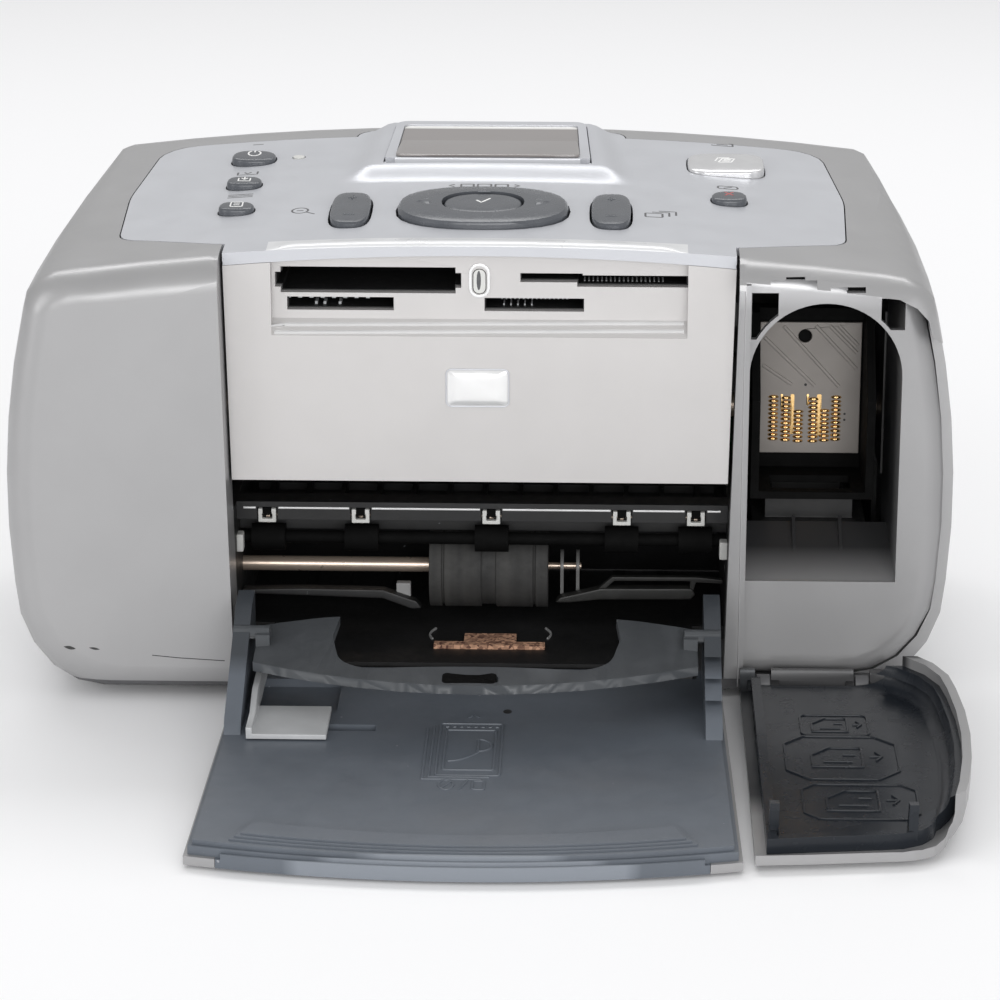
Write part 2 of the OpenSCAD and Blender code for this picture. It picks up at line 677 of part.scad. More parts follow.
module display_glass() color("#6b6560") placed() {
  disp_place(-disp_t + 0.5) translate([0, 0, disp_t - 1.4]) linear_extrude(1)
    polygon(rounded([[-disp_half + 2.7, 3.5], [disp_half - 2.7, 3.5], [disp_half - 3.5, disp_d - 3.1],
      [-disp_half + 3.5, disp_d - 3.1]], [1.4, 1.4, 1.4, 1.4]));
}

// Arched upper edge of the front panel over a half width, from left to right
function arched(w, lift = 0) = [for (k = [0:16]) let(x = w*(k/8 - 1))
  [x, panel_z1 + lift + panel_arch*(1 - pow(x/w, 2))]];
module front_panel() color("#bdbab4") placed() {
  w0 = mouth_x(panel_z0) - seam*2;
  w = mouth_x(panel_z1) - seam*2;
  difference() {
    union() {
      xz_prism(panel_y, panel_y + panel_t) polygon(concat([[w0, panel_z0], [-w0, panel_z0]], arched(w)));
      xz_prism(panel_y, panel_y + panel_t + recess_d) intersection() {
        polygon(concat([[w0, panel_z0], [-w0, panel_z0]], arched(w)));
        translate([-recess_half - 2, recess_z - 3]) square([2*recess_half + 4, 40]);
      }
      slab(-w0, w0, panel_y, panel_y + 5.5, panel_z0, panel_z0 + 1.6);
    }
    // recess with a sloping ledge
    yz_prism(-recess_half, recess_half) polygon([[panel_y - 1, recess_z], [panel_y, recess_z],
      [panel_y + recess_d, recess_z + 3.4], [panel_y + recess_d, 130], [panel_y - 1, 130]]);
    slots(panel_y, panel_y + 12, 0.25);
    xz_prism(panel_y, panel_y + 9) translate([0, panel_z1 - 4]) polygon(rounded([[-1.6, -3], [1.6, -3], [1.6, 3],
      [-1.6, 3]], [1.5, 1.5, 1.5, 1.5]));
  }
}
// The card slots, grown by g
module slots(y0, y1, g = 0) {
  xa = -recess_half + 1;
  za = panel_z1 - 6.6;
  zb = panel_z1 - 10.7;
  xd = recess_half - 0.2;
  zd = panel_z1 - 4.8;
  slab(xa - g, xa + slot_a_w + g, y0, y1, za + slot_step - g, za + slot_a_h - slot_step + g);
  slab(xa + slot_step - g, xa + slot_a_w - slot_step + g, y0, y1, za - g, za + slot_a_h + g);
  slab(xa + 2.7 - g, xa + 2.7 + slot_b_w + g, y0, y1, zb - g, zb + slot_thin_h + g);
  slab(1.4 - g, 1.4 + slot_c_w + g, y0, y1, zb - g, zb + slot_thin_h + g);
  // the right top slot is thick on the right and thin on the left
  slab(xd - slot_d_w + 13 - g, xd + g, y0, y1, zd - g, zd + slot_thin_h - 0.4 + g);
  slab(xd - slot_d_w - g, xd - slot_d_w + 14, y0, y1, zd + 1 - g, zd + slot_thin_h + g);
}
module card_reader() color("#202020") placed() {
  y0 = panel_y + panel_t + recess_d;
  difference() {
    slab(-recess_half - 1.4, recess_half + 1.4, y0, y0 + reader_d, panel_z1 - 13, panel_z1 - 0.4);
    slots(y0 - 1, y0 + reader_d - 3);
    slab(-2.4, 2.4, y0 - 1, y0 + 4, panel_z1 - 7.6, panel_z1);
  }
  // contact pins at the back of the wide slot
  for (k = [0:23]) slab(-recess_half + 3 + k*1.65, -recess_half + 3.6 + k*1.65, y0 + reader_d - 11, y0 + reader_d - 2.9,
    panel_z1 - 4.2, panel_z1 - 3.4);
}

module arch_plan(d = 0) {
  union() {
    translate([arch_x, arch_z]) circle(r = arch_r - d, $fn = 64);
    translate([arch_x - arch_r + d, sill_z + d]) square([2*(arch_r - d), arch_z - sill_z - d]);
  }
}
// Windows for the door's hooks: they end short of the arch, whose rim runs on between
module bay_windows(g = 0) {
  z = crown_h - 21.1;
  difference() {
    union() {
      translate([arch_x - arch_r + 0.2 - g, z - g]) square([6.1 + 2*g, 11 + 2*g]);
      translate([arch_x + arch_r - 5.3 - g, z + 2.5 - g]) square([5.5 + 2*g, 7.4 + 2*g]);
    }
    translate([arch_x, arch_z]) circle(r = arch_r + bay_rim, $fn = 64);
  }
}
module bay_bezel() color("silver") placed() {
  yb = front_y + bay_setback;
  moulded() difference() {
    union() {
      intersection() {
        difference() {
          body_form(wall + 0.3, bay_setback);
          body_form(wall + 2.3, bay_setback + 2);
        }
        slab(bay_x0, body_w, front_y, yb + 9, pan_top, crown_h - 3.8);
      }
      // strip between the mouth and the bay
      xz_prism(front_y + 7, front_y + 12.6) polygon([[mouth_x(pan_top) + seam, pan_top], [bay_x0 + 1.6, pan_top],
        [bay_x0 + 1.6, crown_h - 8], [mouth_x(crown_h - 8) + seam, crown_h - 8]]);
    }
    xz_prism(yb - 1, yb + 2.6) arch_plan();
    xz_prism(yb - 1, yb + 2.6) bay_windows();
  }
  // sill that slopes up to the back, with two ribs
  difference() {
    intersection() {
      yz_prism(arch_x - arch_r - 1.5, arch_x + arch_r + 1.5) polygon([[yb + 0.6, sill_z], [yb + 1.9, sill_z],
        [yb + sill_d, sill_z + sill_rise], [yb + sill_d, sill_z + sill_rise - 1.8],
        [yb + 1.9, sill_z - 2.2], [yb + 0.6, sill_z - 2.2]]);
      slab(arch_x - arch_r - 1.5, arch_x + arch_r + 1.5, yb, yb + sill_d, 0, 60);
    }
    slab(0, body_w, yb - 5, yb + 2, sill_z - 3, sill_z - eps);
  }
  for (x = [arch_x - 5.5, arch_x + 5.5]) yz_prism(x - 0.4, x + 0.4) polygon([[yb + 6, sill_z + 1],
    [yb + sill_d, sill_z + sill_rise - 0.6], [yb + sill_d, sill_z + sill_rise + 1.6], [yb + 13, sill_z + 5.6]]);
  // side walls of the bay
  slab(bay_x0 + 0.1, arch_x - arch_r - 0.1, yb + 1.9, yb + sill_d, sill_z - 2, cradle_z0 - 4);
  difference() {
    linear_extrude(crown_h - 14) polygon([[arch_x + arch_r + 0.2, yb + 1.9], [arch_x + arch_r + 1.7, yb + 1.9],
      [arch_x + arch_r - 0.4, yb + 28.4], [arch_x + arch_r - 1.6, yb + 28.4]]);
    slab(0, body_w, front_y, rear_y, -1, sill_z - 2.2);
  }
}

module keypad_board() color("darkgreen") placed() {
  difference() {
    translate([0, board_y0, top_z(0, board_y0) - shoulder_drop*0.45 - key_drop]) rotate([slope, 0, 0])
      slab(-key_x - 8, key_x + 8, 0, board_y1 - board_y0, -0.8, 0);
    translate([0, 0, crown_h - 28]) linear_extrude(60) bulge_plan(-1);
    slab(-key_x, key_x, rear_y - 30, rear_y, crown_h - 28, crown_h + 22);
  }
}

// Floor, side walls and turn of the paper path
module paper_channel() color("#1b1b1b") placed() {
  x1 = side_x0 + side_t;
  difference() {
    union() {
      slab(-mouth_half + 7.6, mouth_half - 7.6, hinge_y + 4, front_y + 33.5, pan_top, bed_z);
      slab(-x1, x1, front_y + 33.5, rear_y - 23.5, pan_top, bed_z);
      slab(-x1, -side_x0, front_y + 13.2, rear_y - 23.5, pan_top, star_bar_z1);
      slab(side_x0, x1, front_y + 13.2, rear_y - 23.5, pan_top, star_bar_z1);
    }
    for (s = [-1, 1]) x_rod(shaft_r + run_fit, s*side_x0 - 4, s*side_x0 + 4, shaft_y, shaft_z);
    for (s = [-1, 1]) x_rod(1.5 + run_fit, s*side_x0 - 4, s*side_x0 + 4, roll_y, out_z);
    for (s = [-1, 1]) x_rod(2.5 + run_fit, s*side_x0 - 4, s*side_x0 + 4, feed_y, feed_z);
    for (s = [-1, 1]) x_rod(0.5 + run_fit, s*side_x0 - 4, s*side_x0 + 4, roll_y, star_z);
    // seat of the cork pad
    slab(-11.5, 15.4, shaft_y - 19.6, shaft_y - 16.2, bed_z - 0.6, bed_z + 1);
    slab(-4.4, 8.5, shaft_y - 17, shaft_y - 10.6, bed_z - 0.6, bed_z + 1);
    // ribs of the bed
    for (k = [-4:4]) slab(k*11 - 1.5, k*11 + 1.5, feed_y - 4, rear_y - 27.5, bed_z - 0.8, bed_z + 1);
  }
  // turn at the back
  intersection() {
    difference() {
      x_rod(17.6, -side_x0, side_x0, feed_y + 8, 24.2);
      x_rod(15.8, -side_x0 - 1, side_x0 + 1, feed_y + 8, 24.2);
    }
    slab(-side_x0, side_x0, feed_y + 8.5, feed_y + 32, bed_z - eps, 45);
  }
}
module cork_pad() color("#8a6a4a") placed() {
  translate([0, 0, bed_z - 0.6]) linear_extrude(1.5) polygon([[-11.3, shaft_y - 19.4], [15.2, shaft_y - 19.4],
    [15.2, shaft_y - 16.4], [8.3, shaft_y - 16.4], [8.3, shaft_y - 10.8], [-4.2, shaft_y - 10.8],
    [-4.2, shaft_y - 16.4], [-11.3, shaft_y - 16.4]]);
}
module shaft_bracket() color("gray") placed() {
  for (x = [18.6, 22.4]) difference() {
    union() {
      slab(x, x + 0.8, shaft_y - 4, shaft_y + 4, bed_z, shaft_z);
      x_rod(4, x, x + 0.8, shaft_y, shaft_z);
    }
    x_rod(0.8 + run_fit, x - 1, x + 2, shaft_y, shaft_z);
  }
}
module pick_shaft() color("silver") placed() {
  x_rod(shaft_r, -side_x0 - side_t, -12.8 + eps, shaft_y, shaft_z);
  x_rod(shaft_r, -12.8, -12.8 + drum_w, shaft_y, shaft_z);
  x_rod(0.8, -12.8 + drum_w - eps, 23.6, shaft_y, shaft_z);
}
module pick_drum() color("#2a2a2a") placed() {
  difference() {
    union() {
      x_rod(drum_r - 0.6, -12.8, -12.8 + drum_w, shaft_y, shaft_z);
      for (b = [[0, 3], [3.6, 12.5], [16, 24.9], [25.5, 28.5]])
        x_rod(drum_r, -12.8 + b[0]*drum_w/28.5, -12.8 + b[1]*drum_w/28.5, shaft_y, shaft_z);
    }
    x_rod(shaft_r, -20, 30, shaft_y, shaft_z);
  }
}

module star_wheel_bar() color("#3a3a3a") placed() {
  z0 = star_bar_z0();
  difference() {
    slab(-side_x0, side_x0, star_y, star_y + star_bar_d, z0, star_bar_z1);
    slab(-side_x0 + 1.2, side_x0 - 1.2, star_y + 0.8, star_y + star_bar_d - 0.8, z0 - 1, star_bar_z1 - 0.8);
    for (x = clip_x) slab(x - 2.4, x + 2.4, star_y - 1, star_y + 1.2, z0 - 1, star_bar_z1 - 1.4);
    x_rod(0.5 + run_fit, -side_x0 - 2, side_x0 + 2, roll_y, star_z);
  }
}
clip_x = [-mouth_half + 7.1, -28.7, 2.3, 33.2, mouth_half - 7.3];
module star_wheel_clips() color("white") placed() {
  for (x = clip_x) difference() {
    slab(x - 2.1, x + 2.1, star_y - 0.6, star_y + 0.8, star_bar_z0() - 0.6, star_bar_z1 - 1.6);
    slab(x - 1.2, x + 1.2, star_y - 1, star_y + 1, star_bar_z0() + 0.3, star_bar_z0() + 1.6);
  }
}
module star_wheels() color("silver") placed() {
  z = star_z;
  x_rod(0.5, -side_x0 - 1, side_x0 + 1, roll_y, z);
  for (x = clip_x) translate([x - 0.4, roll_y, z]) rotate([90, 0, 90]) linear_extrude(0.8)
    polygon([for (k = [0:31]) (k % 2 == 0 ? star_r : star_r*0.78)*[cos(k*11.25), sin(k*11.25)]]);
}
module output_roller() color("#262626") placed() {
  x_rod(1.5, -side_x0 - side_t - 4, side_x0 + side_t, roll_y, out_z);
  for (x = clip_x) x_rod(out_r, x - 4, x + 4, roll_y, out_z);
}
module platen() color("#2e2e2e") placed() {
  difference() {
    slab(-side_x0, side_x0, platen_y0, platen_y1, 33.2, 36.6);
    slab(2 - mouth_half, mouth_half - 2, platen_y0 + 3, platen_y1 - 3, 34.8, 40);
  }
  for (k = [-6:6]) slab(k*8.6 - 0.6, k*8.6 + 0.6, platen_y0 + 1, platen_y1 - 1, 34, 38);
}
module feed_roller() color("#3c3c3c") placed() {
  x_rod(2.5, -side_x0 - side_t - 4, side_x0 + side_t, feed_y, feed_z);
  x_rod(feed_r, 2 - mouth_half, mouth_half - 2, feed_y, feed_z);
}
module drive_gearbox() color("#303030") placed() {
  x1 = -side_x0 - side_t - 0.3;
  difference() {
    slab(frame_x0 + frame_t, x1, front_y + 27.5, rear_y - 35.5, pan_top, 40);
    x_rod(2.5 + run_fit, x1 - 4.2, x1 + 1, feed_y, feed_z);
    x_rod(1.5 + run_fit, x1 - 4.2, x1 + 1, roll_y, out_z);
  }
}

module chassis() color("#9a9c9e") placed() {
  // back plate with end plates and board posts
  difference() {
    slab(frame_x0, frame_x1 + frame_t, frame_y, frame_y + frame_t, rod_z - 10, cradle_z1 + 2);
    for (x = [-40, 0, 40]) slab(x - 12, x + 12, frame_y - 1, frame_y + 3, cradle_z1 - 10, cradle_z1 - 2);
  }
  for (x = [frame_x0, frame_x1]) difference() {
    union() {
      slab(x, x + frame_t, front_y + 37.5, frame_y + frame_t, rod_z - 10, cradle_z1);
      slab(x, x + frame_t, feed_y - 4, frame_y - 4, x > 0 ? 14 : pan_top, rod_z - 9);
    }
    x_rod(rod_r + 0.03, x - 1, x + 3, rod_y, rod_z);
  }
  // foot of the right end plate, set in from the sweep of the cover
  slab(frame_x1 - 15, frame_x1 + frame_t, feed_y - 4, frame_y - 4, 14, 14 + frame_t);
  slab(frame_x1 - 15, frame_x1 - 15 + frame_t, feed_y - 4, frame_y - 4, pan_top, 14 + eps);
  for (x = [-50, 50]) for (z = [rod_z - 4, cradle_z1 - 2]) y_rod(2.5, frame_y + frame_t - eps, board_y, x, z);
  y_rod(2, belt_y - 1, frame_y + eps, idler_x, belt_z);
}
module guide_rod() color("silver") placed() {
  x_rod(rod_r, frame_x0 - 1, frame_x1 + frame_t + 1, rod_y, rod_z);
}
module encoder_strip() color("#555555") placed() {
  slab(frame_x0 + frame_t, frame_x1, rod_y + 6.6, rod_y + 6.8, strip_z, strip_z + 6);
}
module drive_belt() color("#151515") placed() {
  r = pulley_r + run_fit;
  difference() {
    union() {
      y_rod(r + 0.8, belt_y, belt_y + belt_w, motor_x, belt_z);
      y_rod(r + 0.8, belt_y, belt_y + belt_w, idler_x, belt_z);
      slab(motor_x, idler_x, belt_y, belt_y + belt_w, belt_z - r - 0.8, belt_z + r + 0.8);
    }
    y_rod(r, belt_y - 1, belt_y + 9, motor_x, belt_z);
    y_rod(r, belt_y - 1, belt_y + 9, idler_x, belt_z);
    slab(motor_x, idler_x, belt_y - 1, belt_y + 9, belt_z - r, belt_z + r);
  }
}
module pulley(x, bore) {
  n = 20;
  difference() {
    y_rod(pulley_r, belt_y + 0.1, belt_y + belt_w - 0.1, x, belt_z);
    for (k = [0:n - 1]) translate([x, 0, belt_z]) rotate([0, k*360/n, 0])
      slab(pulley_r - 0.5, pulley_r + 1, belt_y - 1, belt_y + 9, -0.3, 0.3);
    y_rod(bore, belt_y - 1, belt_y + 9, x, belt_z);
  }
}
module drive_pulley() color("gray") placed() {
  pulley(motor_x, 1);
  y_rod(1, belt_y - 0.6, belt_y + belt_w + 3, motor_x, belt_z);
}
module idler_pulley() color("gray") placed() {
  pulley(idler_x, 2 + run_fit);
}
module carriage_motor() color("#707274") placed() {
  difference() {
    union() {
      y_rod(11, belt_y + belt_w + 0.4, frame_y, motor_x, belt_z);
      y_rod(12.6, frame_y - 2, frame_y, motor_x, belt_z);
    }
    y_rod(1 + run_fit, belt_y, belt_y + belt_w + 3.6, motor_x, belt_z);
  }
}
module service_station() color("#2c2c2c") placed() {
  x0 = cradle_x;
  slab(x0 + 1, x0 + cradle_w - 9, front_y + bay_setback + sill_d + 0.6, front_y + 59.5, pan_top, 9.5);
  slab(x0 + 1, x0 + cradle_w - 1, front_y + bay_setback + sill_d + 0.6, front_y + 59.5, 9.5 - eps, 36);
  difference() {
    slab(x0 + 4, x0 + cradle_w - 4, front_y + 33.5, front_y + 51.5, 36 - eps, 41.4);
    slab(x0 + 6, x0 + cradle_w - 6, front_y + 35.5, front_y + 49.5, 38, 45);
  }
}

// Sliding cradle that holds the cartridge
module carriage() color("#26282a") placed() {
  x0 = cradle_x;
  x1 = x0 + cradle_w;
  difference() {
    union() {
      // side cheeks, higher at the back
      for (x = [x0, x1 - cradle_t]) yz_prism(x, x + cradle_t) polygon([[cradle_y, cradle_z0],
        [back_y + 2, cradle_z0], [back_y + 2, cradle_z1], [back_y - 7, cradle_z1], [cradle_y, cradle_z1 - 18]]);
      // floor with the print window
      slab(x0, x1, cradle_y, back_y + 2, cradle_z0, cradle_z0 + 1.8);
      // back wall
      slab(x0, x1, back_y, back_y + 2, cradle_z0, cradle_z1);
      // bearing block on the rod
      slab(x0 + 1, x1 - 1, back_y + 1.9, rod_y + 2, rod_z - 7, rod_z + 6);
      x_rod(rod_r + 3, x0 + 1, x1 - 1, rod_y, rod_z);
      // arm to the belt clip
      slab(x0 + cradle_w/2 - 5.5, x0 + cradle_w/2 + 5.5, rod_y - 2, belt_y + belt_w, min(rod_z + 3.6, belt_z - pulley_r - 5.4),
        belt_z - pulley_r - 1.3);
      // sensor housing over the encoder strip
      slab(x0 + cradle_w/2 - 6.5, x0 + cradle_w/2 + 6.5, back_y + 1.9, rod_y + 10, strip_z + 2.2, strip_z + 8);
    }
    x_rod(rod_r + run_fit, x0 - 1, x1 + 1, rod_y, rod_z);
    slab(x0 + 5, x1 - 5, cradle_y + 3, cradle_y + 13, cradle_z0 - 1, cradle_z0 + 4);
    slab(x0, x1, rod_y + 6.2, rod_y + 7.2, strip_z - 4, strip_z + 6.6);
    // openings beside the contact plate
    for (x = [x0 + 3.2, x1 - 5.2]) slab(x, x + 2, back_y - 1, back_y + 1, cradle_z0 + 10, cradle_z1 - 8);
  }
  // latch rib under the top
  slab(x0 + cradle_t - eps, x1 - cradle_t + eps, back_y - 2.4, back_y + eps, cradle_z1 - 3, cradle_z1);
}
module contact_plate() color("#b9b9b4") placed() {
  x0 = cradle_x;
  difference() {
    slab(x0 + 2.4, x0 + cradle_w - 2.4, back_y - 0.9, back_y - 0.02, cradle_z0 + 5.5, cradle_z1 - 4);
    y_rod(1.6, back_y - 3, back_y + 1, x0 + cradle_w/2 - 1.4, cradle_z1 - 7.4);
  }
}

module main_board() color("#1f5f3a") placed() {
  difference() {
    slab(-62, 62, board_y, board_y + 1.6, 14, cradle_z1 + 4);
    for (x = [-50, 50]) for (z = [rod_z - 4, cradle_z1 - 2]) y_rod(1.2, board_y - 1, board_y + 3, x, z);
  }
  slab(-30, -10, board_y - 2.4, board_y + eps, 60, 78);
  slab(-76, -61.9, board_y, board_y + 1.6, 14, 40);
}
module power_jack() color("#1a1a1a") placed() {
  difference() {
    union() {
      slab(-76.5, -67.5, board_y + 1.6, rear_y - wall - 0.4, 19.5, 28.5);
      y_rod(3.9, rear_y - wall - 0.5, rear_y - 0.3, -72, 24);
    }
    y_rod(3.1, board_y + 3.4, rear_y + 1, -72, 24);
  }
  y_rod(1, board_y + 3, rear_y - 1.4, -72, 24);
}
module usb_port() color("#c4c6c8") placed() {
  difference() {
    slab(-54, -42, board_y + 1.6, rear_y - 0.5, 18.4, 29);
    slab(-53.2, -42.8, board_y + 2.6, rear_y + 1, 19.2, 28.2);
  }
  slab(-50.8, -45.2, board_y + 2.4, rear_y - 1.2, 22.4, 25.4);
}
module indicator_lamps() color("white") placed() {
  on_top(lamp_at.x, lamp_at.y, -2.4) cylinder(r = 1.4, h = 2.6);
  xz_prism(panel_y + recess_d, panel_y + recess_d + 2.4) translate([0, panel_z1 - 4]) polygon(rounded([[-1.4, -2.8],
    [1.4, -2.8], [1.4, 2.8], [-1.4, 2.8]], [1.3, 1.3, 1.3, 1.3]));
}

// Front view of the tray door with its arched edge
module tray_face(d = 0) {
  w = mouth_x(tray_z1) - seam*2 - d;
  w0 = mouth_x(hinge_z) - seam*2 - d;
  z1 = tray_z1 - d;
  polygon(concat([[-w0, hinge_z - 1.8], [w0, hinge_z - 1.8]],
    [for (k = [0:16]) let(x = w*(1 - k/8)) [x, z1 + tray_bulge*(1 - pow(x/w, 2))]]));
}
module lug_notches(xs, w = 1.9) {
  for (x = xs) slab(x - w, x + w, front_y - 2, hinge_y + 8, -2, hinge_z + 3.4);
}
// Lip that the deck turns over the front edge of the skin, between the skin's corners
module tray_lip(d = 0, y0 = front_y) {
  w = mouth_x(tray_z1) - 7.5 + d;
  xz_prism(y0, front_y + skin_t + eps) intersection() {
    difference() {
      tray_face(-eps*(d > 0 ? 1 : 0));
      tray_face(1.4 + d);
    }
    translate([-w, tray_z1 - 9]) square([2*w, 30]);
  }
}
module tray_skin() color("silver") placed() {
  swung() {
    difference() {
      xz_prism(front_y, front_y + skin_t) tray_face();
      lug_notches([-tray_lug_x, tray_lug_x]);
      tray_lip(0.1, front_y - 1);
    }
    // pins in the lugs
    for (s = [-1, 1]) x_rod(pin_r, s*tray_lug_x - 2.2, s*tray_lug_x + 2.2, hinge_y, hinge_z);
  }
}
module tray_deck() color("#505459") placed() {
  band_half = mouth_half - 9;
  y0 = front_y + skin_t;
  swung() {
    difference() {
      union() {
        xz_prism(y0, y0 + deck_t - 1) tray_face(0.9);
        xz_prism(y0 + deck_t - 1 - eps, y0 + deck_t) tray_face(1.8);
      }
      lug_notches([-tray_lug_x, tray_lug_x], 2.4);
      // opening under the width guide and the slot that it slides in
      slab(guide_x - 0.3, guide_x + 19.1, y0 + 1, y0 + 9, 11, 30);
      slab(guide_x + 2.6, guide_x + 15.6 + guide_travel, y0 + deck_t - 1.6, y0 + 9, 38.2, 41.8);
    }
    tray_lip();
    xz_prism(y0, y0 + lip_t) intersection() {
      tray_face();
      translate([7.5 - mouth_half, tray_z1 - 9]) square([2*mouth_half - 15, 30]);
    }
    // arms
    for (s = [-1, 1]) difference() {
      yz_prism(s*arm_x - arm_t/2, s*arm_x + arm_t/2) polygon([[y0 + deck_t - eps, hinge_z + 0.2],
        [y0 + deck_t + arm_h, hinge_z + 0.6], [y0 + deck_t + arm_h - 1, hinge_z + 8],
        [y0 + deck_t + arm_h*0.62, hinge_z + 20], [y0 + deck_t + 3, hinge_z + arm_l - 2],
        [y0 + deck_t - eps, hinge_z + arm_l]]);
      x_rod(1.6 + run_fit, s*arm_x - 4, s*arm_x + 4, hinge_y + shelf_pivot_z - hinge_z, hinge_z + shelf_pivot_y);
      if (s > 0) for (k = [0:2]) slab(arm_x - 14, arm_x + 16, y0 + deck_t + 5 + k*3, y0 + deck_t + 6.2 + k*3,
        hinge_z + 26 - k*5, hinge_z + 40);
    }
    // raised band along the front edge, slanted at its ends
    for (k = [0:2]) xz_prism(y0 + deck_t - eps, y0 + deck_t + 0.4 + 0.4*k) intersection() {
      difference() {
        tray_face(3 + 0.8*k);
        tray_face(11.6 - 0.8*k);
      }
      polygon([[-band_half + 5 + k, tray_z1 - 14], [-band_half + k, tray_z1 - 2], [-band_half + k, tray_z1 + 9],
        [band_half - k, tray_z1 + 9], [band_half - k, tray_z1 - 2], [band_half - 5 - k, tray_z1 - 14]]);
    }
  }
}
// Arched shelf that catches the prints
module output_shelf() color("#45494e") placed() laid() {
  w = shelf_half;
  yf = pivot_y - shelf_reach + 1;
  arc = [for (k = [0:12]) let(x = w*(1 - k/6)) [x, yf + 17*pow(x/w, 2)]];
  difference() {
    translate([0, pivot_y, shelf_pivot_z]) rotate([shelf_fall, 0, 0]) translate([0, -pivot_y, -shelf_pivot_z]) {
      intersection() {
        translate([0, 0, shelf_pivot_z - shelf_t + 1]) translate([0, 0, -4]) linear_extrude(9)
          difference() {
            polygon(concat(arc, [[-w, pivot_y + 8], [-shelf_cut_half - 4, pivot_y + 9.2],
              [shelf_cut_half + 4, pivot_y + 9.2], [w, pivot_y + 8]]));
            polygon(rounded([[-shelf_cut_half, pivot_y - 1], [-shelf_cut_half + 3, yf + 9.5],
              [shelf_cut_half - 3, yf + 9.5], [shelf_cut_half, pivot_y - 1],
              [shelf_cut_half - 2, pivot_y + 20], [-shelf_cut_half + 2, pivot_y + 20]],
              [3, 10, 10, 3, 0, 0], 8));
            polygon(rounded([[-5.7, yf + 1.6], [5.7, yf + 1.6], [5.7, yf + 5.2], [-5.7, yf + 5.2]], [1, 1, 1, 1]));
          }
        // gentle crown across the width
        translate([0, 0, shelf_pivot_z + 1 - 400]) rotate([90, 0, 0]) translate([0, 0, -200]) difference() {
          cylinder(r = 400, h = 400, $fn = 360);
          cylinder(r = 400 - shelf_t, h = 400, $fn = 360);
        }
      }
    }
    slab(-60, 60, pivot_y - 100, pivot_y + 100, -10, 8);
  }
  for (s = [-1, 1]) {
    x_rod(1.6, s > 0 ? w - 3 : -arm_x - arm_t/2, s > 0 ? arm_x + arm_t/2 : -w + 3, pivot_y, shelf_pivot_z);
    slab(s > 0 ? w - 3.2 : -w, s > 0 ? w : -w + 3.2, pivot_y - 3, pivot_y + 3, shelf_pivot_z - 3, shelf_pivot_z + 0.4);
  }
}
module width_guide() color("#b4b6b6") placed() laid() {
  z0 = deck_top + seam;
  y1 = hinge_y - 26;
  slab(guide_x, guide_x + guide_w, y1 - guide_l, y1, z0, z0 + 1.2);
  // tongue in the slot of the deck
  slab(guide_x + 3.6, guide_x + 13.6, hinge_y - 36.4, hinge_y - 33.6, z0 - 1.4, z0 + eps);
  slab(guide_x, guide_x + 1.4, y1 - guide_l, y1 - guide_l + guide_wall_l, z0, deck_top + guide_h*0.5);
  yz_prism(guide_x, guide_x + 1.4) polygon([[y1 - guide_l + 3, z0], [y1 - guide_l + guide_wall_l, z0],
    [y1 - guide_l + guide_wall_l, deck_top + guide_h - 1], [y1 - guide_l + guide_wall_l - 4, deck_top + guide_h],
    [y1 - guide_l + 16, deck_top + guide_h]]);
}

module bay_door_region(d = 0) {
  xz_prism(front_y - 1, front_y + 11.3 - d) offset_seam(d);
}
module offset_seam(d) {
  intersection() {
    door_seam(-d);
    translate([0, hinge_z - 1.8 + d]) square([body_w, 120]);
  }
}
module bay_door_skin() color("silver") placed() {
  swung() {
    moulded() difference() {
      intersection() {
        difference() {
          body_form();
          body_form(skin_t);
        }
        bay_door_region();
      }
      slab(0, body_w, hinge_y + 3.4, rear_y, -1, hinge_z + 3.4);
      lug_notches(door_lugs);
    }
    for (x = door_lugs) {
      x_rod(pin_r, x - 2.2, x + 2.2, hinge_y, hinge_z);
      for (s = [-1, 1]) slab(x + s*2.8 - 0.9, x + s*2.8 + 0.9, front_y + skin_t - eps, hinge_y + 1.2, hinge_z - 1.2,
        hinge_z + 3.2);
    }
  }
}
module bay_door_liner() color("#46494d") placed() {
  hook_z = crown_h - 13.6;
  swung() {
    moulded() difference() {
      intersection() {
        body_form(skin_t + 0.01);
        bay_door_region(2.4);
      }
      intersection() {
        body_form(skin_t + 1.5);
        bay_door_region(4.6);
      }
      body_form(skin_t + 1.5, skin_t + 3.6);
      slab(0, body_w, front_y, rear_y, -1, hinge_z + 3.4);
    }
    // hooks that enter the windows of the bay
    for (x = [arch_x - arch_r + 3.2, arch_x + arch_r - 2.6]) yz_prism(x - 1, x + 1) polygon([
      [front_y + skin_t + 1.4, hook_z - 4.4], [front_y + 11.6, hook_z - 1.8], [front_y + 12, hook_z + 1],
      [front_y + 10.4, hook_z + 1.2], [front_y + 10.2, hook_z], [front_y + skin_t + 1.4, hook_z]]);
  }
}

module power_button() color("#3d4145") placed() key_cap(k_power);
module save_button() color("#3d4145") placed() key_cap(k_save);
module menu_button() color("#3d4145") placed() key_cap(k_menu);
module print_button() color("#c8c9ca") placed() key_cap(k_print, 4);
module cancel_button() color("#3d4145") placed() key_cap(k_cancel);
module ok_button() color("#3d4145") placed() key_cap(k_ok, 2.3, 0.8, key_proud + 0.5);
module four_way_pad() color("#33373b") placed() {
  difference() {
    key_cap(k_pad, 2.4, 1.4, key_proud + 0.6, 2.2);
    on_top(0, pad_y, -8) linear_extrude(20) polygon(squircle(ok_a + rock_gap, ok_b + rock_gap, 2.3));
  }
  for (s = [-1, 1]) on_top(0, pad_y) x_rod(pivot_r, s > 0 ? ok_a + 2 : -pad_a + 2, s > 0 ? pad_a - 2 : -ok_a - 2, 0, -2.2);
}
